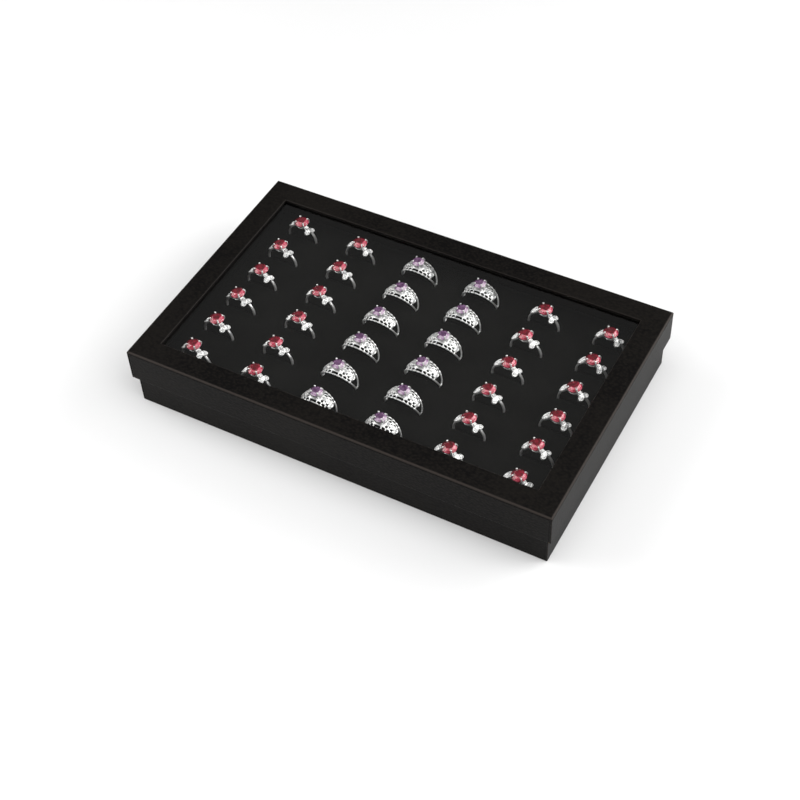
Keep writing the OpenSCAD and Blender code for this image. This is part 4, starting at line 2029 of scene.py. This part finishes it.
@dataclass
class AmethystRing(RingDesign):
    """A domed openwork ring: two spread rails, lacework between them and set stones.

    Sizes are in millimetres, and angles in degrees from the crown.

    Attributes:
        kind: see RingDesign.
        shank: see RingDesign.
        seat_rise: see RingDesign.
        girdle_rise: see RingDesign.
        centre_stone: see RingDesign.
        rail_tilt: slope of each side rail away from the ring's plane.
        rail_wire: radius of a rail's long beads.
        lace_to: angle from the crown at which the lacework ends and only the rails go on.
        lace: thickness of the lacework.
        dome: rise of the lacework's middle over the rails.
        across: edges of the lacework's cells, from the crest to a rail.
        step: length of a cell along the band, as an angle.
        holes: cells along the band that are pierced, counted from the crown.
        eye: the cell that is pierced nearer the crest.
        link: distance between the long beads on a rail, in cells.
        link_share: share of that distance that a bead fills on each side of its middle.
        neck: radius of the wire between two beads.
        foot_angle: angle from the crown near which a rail ends in the velvet.
        foot_wire: radius of the plain wire there.
        foot_bead: radius of its rounded end.
        collet_angles: angles of the set stones from the crown.
        collet_radii: radii of their collets.
        collet_sink: depth of a collet's underside under the band's crown.
        collet_h: height of a collet.
        collet_rim: width of its rim.
        collet_bead: radius of the beads that hold its stone.
        stone_play: how much smaller a set stone is than its collet.
    """

    kind: RingKind = RingKind.AMETHYST
    shank: Shank = SHANKS[RingKind.AMETHYST]
    seat_rise: float = -0.3
    girdle_rise: float = 2.0
    centre_stone: Brilliant = Brilliant(
        3.2, 1.0, 1.6, painted_flashes=((-0.5, 0.9, 0.75), (-2.0, 0.5, 0.6))
    )
    rail_tilt: float = 21.0
    rail_wire: float = 0.48
    lace_to: float = 57.8
    lace: float = 0.7
    dome: float = 0.25
    across: tuple[float, ...] = (0.0, 0.16, 0.34, 0.56, 0.68, 0.9, 1.0)
    step: float = 3.4
    holes: tuple[int, ...] = (6, 7, 11, 12)
    eye: int = 9
    link: int = 4
    link_share: float = 0.19
    neck: float = 0.24
    foot_angle: float = 84.0
    foot_wire: float = 0.45
    foot_bead: float = 0.55
    collet_angles: tuple[float, ...] = (22.6, 38.7, 52.8)
    collet_radii: tuple[float, ...] = (1.4, 1.25, 1.05)
    collet_sink: float = 1.0
    collet_h: float = 1.15
    collet_rim: float = 0.3
    collet_bead: float = 0.26
    stone_play: float = 0.32

    def band_point(self, angle: float, share: float, radius: float) -> Vector:
        """Returns a point of the domed band.

        Args:
            angle: angle from the crown, in degrees.
            share: place across the band, from -1 at the front rail to 1 at the back.
            radius: radius of the band there, in millimetres.

        Returns:
            The point, in millimetres from the finger hole's centre.
        """
        a, tilt = math.radians(angle), math.radians(self.rail_tilt * share)
        foot = (self.shank.width / 2 - self.rail_wire) * share
        return Vector(
            (
                radius * math.sin(a),
                foot + radius * math.cos(a) * math.sin(tilt),
                radius * math.cos(a) * math.cos(tilt),
            )
        )

    def is_open(self, along: int, across: int) -> bool:
        """Tells whether a cell of the lacework is cut away.

        Args:
            along: the cell's number from the crown.
            across: the cell's number from the crest to a rail.

        Returns:
            Whether it is open.
        """
        in_link = along % self.link
        gap = across == 4 and in_link != self.link - 1
        hole = across == 2 and along in self.holes
        eye = across == 1 and along == self.eye
        neck = across == 5 and in_link in (1, 2)
        return gap or hole or eye or neck

    def lacework(self) -> bmesh.types.BMesh:
        """Builds the openwork of the band, in millimetres.

        Returns:
            An open sheet with its holes cut, before it gets its thickness.
        """
        half = round(self.lace_to / self.step)
        shares = [-s for s in reversed(self.across[1:])] + list(self.across)
        bm = bmesh.new()
        bmesh.ops.create_grid(
            bm, x_segments=2 * half, y_segments=len(shares) - 1, size=1.0
        )
        radius = self.shank.radius - self.rail_wire
        place = {}
        for vert in bm.verts:
            i = round((vert.co.x + 1) * half)
            j = round((vert.co.y + 1) / 2 * (len(shares) - 1))
            place[vert] = (i - half, shares[j])
        gone = []
        for face in bm.faces:
            along = sum(place[v][0] for v in face.verts) / 4
            share = sum(place[v][1] for v in face.verts) / 4
            cell = next(k for k, s in enumerate(self.across[1:]) if abs(share) < s)
            if self.is_open(int(abs(along)), cell):
                gone.append(face)
        for vert, (i, share) in place.items():
            angle = i * self.step
            dome = self.dome * (1 - share * share) * math.cos(math.radians(angle))
            vert.co = self.band_point(angle, share, radius + dome)
        bmesh.ops.delete(bm, geom=gone, context="FACES")
        bmesh.ops.recalc_face_normals(bm, faces=bm.faces)
        return bm

    def thickened(self, sheet: bmesh.types.BMesh) -> bmesh.types.BMesh:
        """Gives the lacework its thickness and rounds its bars.

        Args:
            sheet: the open sheet. It is freed.

        Returns:
            The closed lacework, in millimetres.
        """
        wax = add_mesh("lacework", sheet)
        wall = wax.modifiers.new("wall", "SOLIDIFY")
        wall.thickness = self.lace
        wall.offset = 0
        wax.modifiers.new("round", "SUBSURF").levels = 2
        return take_modified(wax)

    def metal(self) -> bmesh.types.BMesh:
        """Builds the lacework, the rails, the collets and the basket as one casting.

        Returns:
            The metal of one ring, in millimetres.
        """
        shank = self.shank
        cast = Casting(bm=self.thickened(self.lacework()), keep=0.34)
        mid = shank.radius - shank.thickness / 2
        section = (shank.thickness / 2, shank.width / 2)
        cast.hoop(mid, section, Matrix(), sweep=180, steps=40)
        rail_r = shank.radius - self.rail_wire
        wire = (self.neck, self.neck)
        for side in (-1, 1):
            foot = side * (shank.width / 2 - self.rail_wire)
            tilted = (
                Matrix.Translation((0, foot, 0))
                @ Matrix.Rotation(math.radians(-side * self.rail_tilt), 4, "X")
                @ Matrix.Rotation(math.pi, 4, "Y")
            )
            cast.hoop(rail_r, wire, tilted, sweep=180, sides=10, steps=44)
            self.add_links(cast, side)
            self.add_feet(cast, side)
        self.add_collets(cast)
        cast.basket(
            shank.radius + self.seat_rise,
            self.centre_stone.radius,
            shank.radius + self.girdle_rise,
        )
        return cast.fused()

    def add_collets(self, cast: Casting) -> None:
        """Adds the collets of the set stones, each with four small beads.

        Args:
            cast: the ring's casting.
        """
        beads_z = 1.1
        for side in (-1, 1):
            for angle, radius in zip(self.collet_angles, self.collet_radii, strict=True):
                collet = on_band(side * angle, 0, self.shank.radius - self.collet_sink)
                size = (2 * radius, 2 * radius, self.collet_h)
                cast.plate(*size, collet, rim=self.collet_rim, point=1.0)
                for k in range(4):
                    a = math.radians(45 + 90 * k)
                    claw = Vector((radius * math.cos(a), radius * math.sin(a), beads_z)) * 0.95
                    cast.bead(collet @ claw, self.collet_bead)

    def add_links(self, cast: Casting, side: int) -> None:
        """Adds the long beads of a rail, which its wire joins.

        Args:
            cast: the ring's casting.
            side: -1 for the front rail, 1 for the back rail.
        """
        radius = self.shank.radius - self.rail_wire
        pitch = self.step * self.link
        count = round(self.lace_to / pitch)
        half = self.link_share * pitch
        for k in range(-count, count + 1):
            ends = [self.band_point(pitch * k + s * half, side, radius) for s in (-1, 1)]
            cast.rod(*ends, self.rail_wire, self.rail_wire)
            for end in ends:
                cast.bead(end, self.rail_wire)

    def add_feet(self, cast: Casting, side: int) -> None:
        """Adds the plain ends of a rail, which go on to the velvet with a rounded foot.

        Args:
            cast: the ring's casting.
            side: -1 for the front rail, 1 for the back rail.
        """
        radius = self.shank.radius - self.rail_wire
        first = self.lace_to + 2
        pieces = 5
        for s in (-1, 1):
            start = self.band_point(s * first, side, radius)
            for k in range(1, pieces + 1):
                angle = first + k * (self.foot_angle - self.lace_to) / pieces
                stop = self.band_point(s * angle, side, radius)
                cast.rod(start, stop, self.foot_wire, self.foot_wire)
                start = stop
            cast.bead(start, self.foot_bead)

    def small_stones(self) -> list[tuple[Brilliant, Matrix]]:
        """Places a stone in each collet.

        Returns:
            Each stone of one ring with its place, in millimetres.
        """
        top = self.shank.radius - 0.2
        return [
            (
                Brilliant(radius - self.stone_play, 0.4, 0.35, 8, halves=False),
                on_band(side * angle, 0, top),
            )
            for side in (-1, 1)
            for angle, radius in zip(self.collet_angles, self.collet_radii, strict=True)
        ]

    def build(self) -> None:
        """Builds every amethyst ring with its stones."""
        self.build_metal()
        self.build_centre_stones(AMETHYST, "amethysts")
        for column in self.columns():
            self.build_small_stones(f"pave_stones_{column + 1}", [column])


# ---------------------------------------------------------------- studio


@dataclass
class SoftBox:
    """A square lamp that points at the box.

    Attributes:
        name: the lamp's name.
        azimuth: where it stands round the box, in degrees; 0 is in front, 90 at the right.
        elevation: its height over the horizon, in degrees.
        distance: how far it stands from the box, in metres.
        size: length of its sides, in metres.
        power: its power, in watts.
    """

    name: str
    azimuth: float
    elevation: float
    distance: float
    size: float
    power: float

    def build(self) -> None:
        """Hangs the lamp and points it at the box."""
        lamp = bpy.data.lights.new(self.name, "AREA")
        lamp.shape = "SQUARE"
        lamp.size = self.size
        lamp.energy = self.power
        hung = add_object(self.name, lamp)
        out = outward(self.azimuth, self.elevation)
        hung.location = out * self.distance
        hung.rotation_euler = out.to_track_quat("Z", "Y").to_euler()


@dataclass
class Studio:
    """A white sweep, soft boxes and the camera.

    Attributes:
        floor_r: radius of the flat floor, in metres.
        rim_r: radius of the sweep's rim, in metres.
        rim_h: height of the rim, in metres.
        sky: strength of the even light from all round.
        azimuth: the camera's direction round the box, in degrees.
        elevation: its height over the horizon, in degrees.
        roll: its turn about its own axis, in degrees.
        distance: from the aim to the camera, in metres.
        aim: the point under the middle of the picture, in metres.
        aside: how far the camera stands to the right of and over that line, in metres.
        lens: focal length, in millimetres.
        sensor: width of the sensor, in millimetres.
        sweep_steps: strips of the sweep between the floor and the rim.
        soft_boxes: the lamps.
    """

    floor_r: float = 1.6
    rim_r: float = 2.6
    rim_h: float = 0.9
    sky: float = 0.18
    azimuth: float = 30.81
    elevation: float = 48.32
    roll: float = -3.25
    distance: float = 0.77601
    aim: tuple[float, float, float] = (0.0, 0.0, 0.015)
    aside: tuple[float, float] = (0.00114, 0.01977)
    lens: float = 69.3
    sensor: float = 36.0
    sweep_steps: int = 8
    soft_boxes: tuple[SoftBox, ...] = (
        SoftBox("key_soft_box", 80, 50, 1.3, 1.1, 8.2),
        SoftBox("right_soft_box", 130, 24, 0.95, 0.8, 9),
        SoftBox("front_soft_box", -25, 38, 1.4, 0.9, 2.0),
        SoftBox("top_soft_box", 35, 80, 1.3, 1.1, 7.3),
        SoftBox("left_soft_box", -72, 32, 0.85, 0.7, 5.5),
        SoftBox("camera_side_soft_box", 30, 36, 1.4, 1.1, 1.0),
    )

    def build(self) -> None:
        """Builds the floor, the light and the camera."""
        self.build_floor()
        self.build_sky()
        for soft_box in self.soft_boxes:
            soft_box.build()
        self.build_camera()

    def build_floor(self) -> None:
        """Builds the round sweep of white paper."""
        bm = bmesh.new()
        bmesh.ops.create_circle(bm, cap_ends=True, segments=96, radius=self.floor_r)
        edges = [e for e in bm.edges if e.is_boundary]
        for k in range(1, self.sweep_steps + 1):
            turn = math.radians(90 * k / self.sweep_steps)
            fresh, edges = extrude_border(bm, edges)
            out = self.floor_r + (self.rim_r - self.floor_r) * math.sin(turn)
            for vert in fresh:
                flat = Vector((vert.co.x, vert.co.y, 0)).normalized() * out
                vert.co = (flat.x, flat.y, self.rim_h * (1 - math.cos(turn)))
        floor = add_mesh("studio_floor", bm)
        floor.data.shade_smooth()
        floor.data.materials.append(StudioPaper("white_studio_paper").material())

    def build_sky(self) -> None:
        """Fills the studio with a dim, even light."""
        world = bpy.data.worlds.new("studio_light")
        world.use_nodes = True
        background = world.node_tree.nodes["Background"]
        background.inputs["Color"].default_value = linear("#ffffff")
        background.inputs["Strength"].default_value = self.sky
        bpy.context.scene.world = world

    def build_camera(self) -> None:
        """Stands the camera where it sees the box from its front right corner."""
        a, roll = math.radians(self.azimuth), math.radians(self.roll)
        back = outward(self.azimuth, self.elevation)
        level = Vector((math.cos(a), math.sin(a), 0))
        upright = back.cross(level)
        right = math.cos(roll) * level + math.sin(roll) * upright
        up = math.cos(roll) * upright - math.sin(roll) * level
        place = Matrix((right, up, back)).transposed().to_4x4()
        place.translation = (
            Vector(self.aim) + back * self.distance - right * self.aside[0] - up * self.aside[1]
        )
        lens = bpy.data.cameras.new("camera")
        lens.lens = self.lens
        lens.sensor_width = self.sensor
        lens.clip_start, lens.clip_end = 0.01, 20
        camera = add_object("camera", lens)
        camera.matrix_world = place
        bpy.context.scene.camera = camera


# ---------------------------------------------------------------- making


def main() -> None:
    """Builds the studio, the box, the insert and the rings, in that order."""
    logging.basicConfig(level=logging.INFO, format="%(name)s: %(message)s")
    bpy.context.scene.view_settings.view_transform = "Standard"
    Studio().build()
    Base().build()
    VelvetInsert().build()
    RubyRing().build()
    AmethystRing().build()
    Lid().build()


if __name__ == "__main__":
    main()
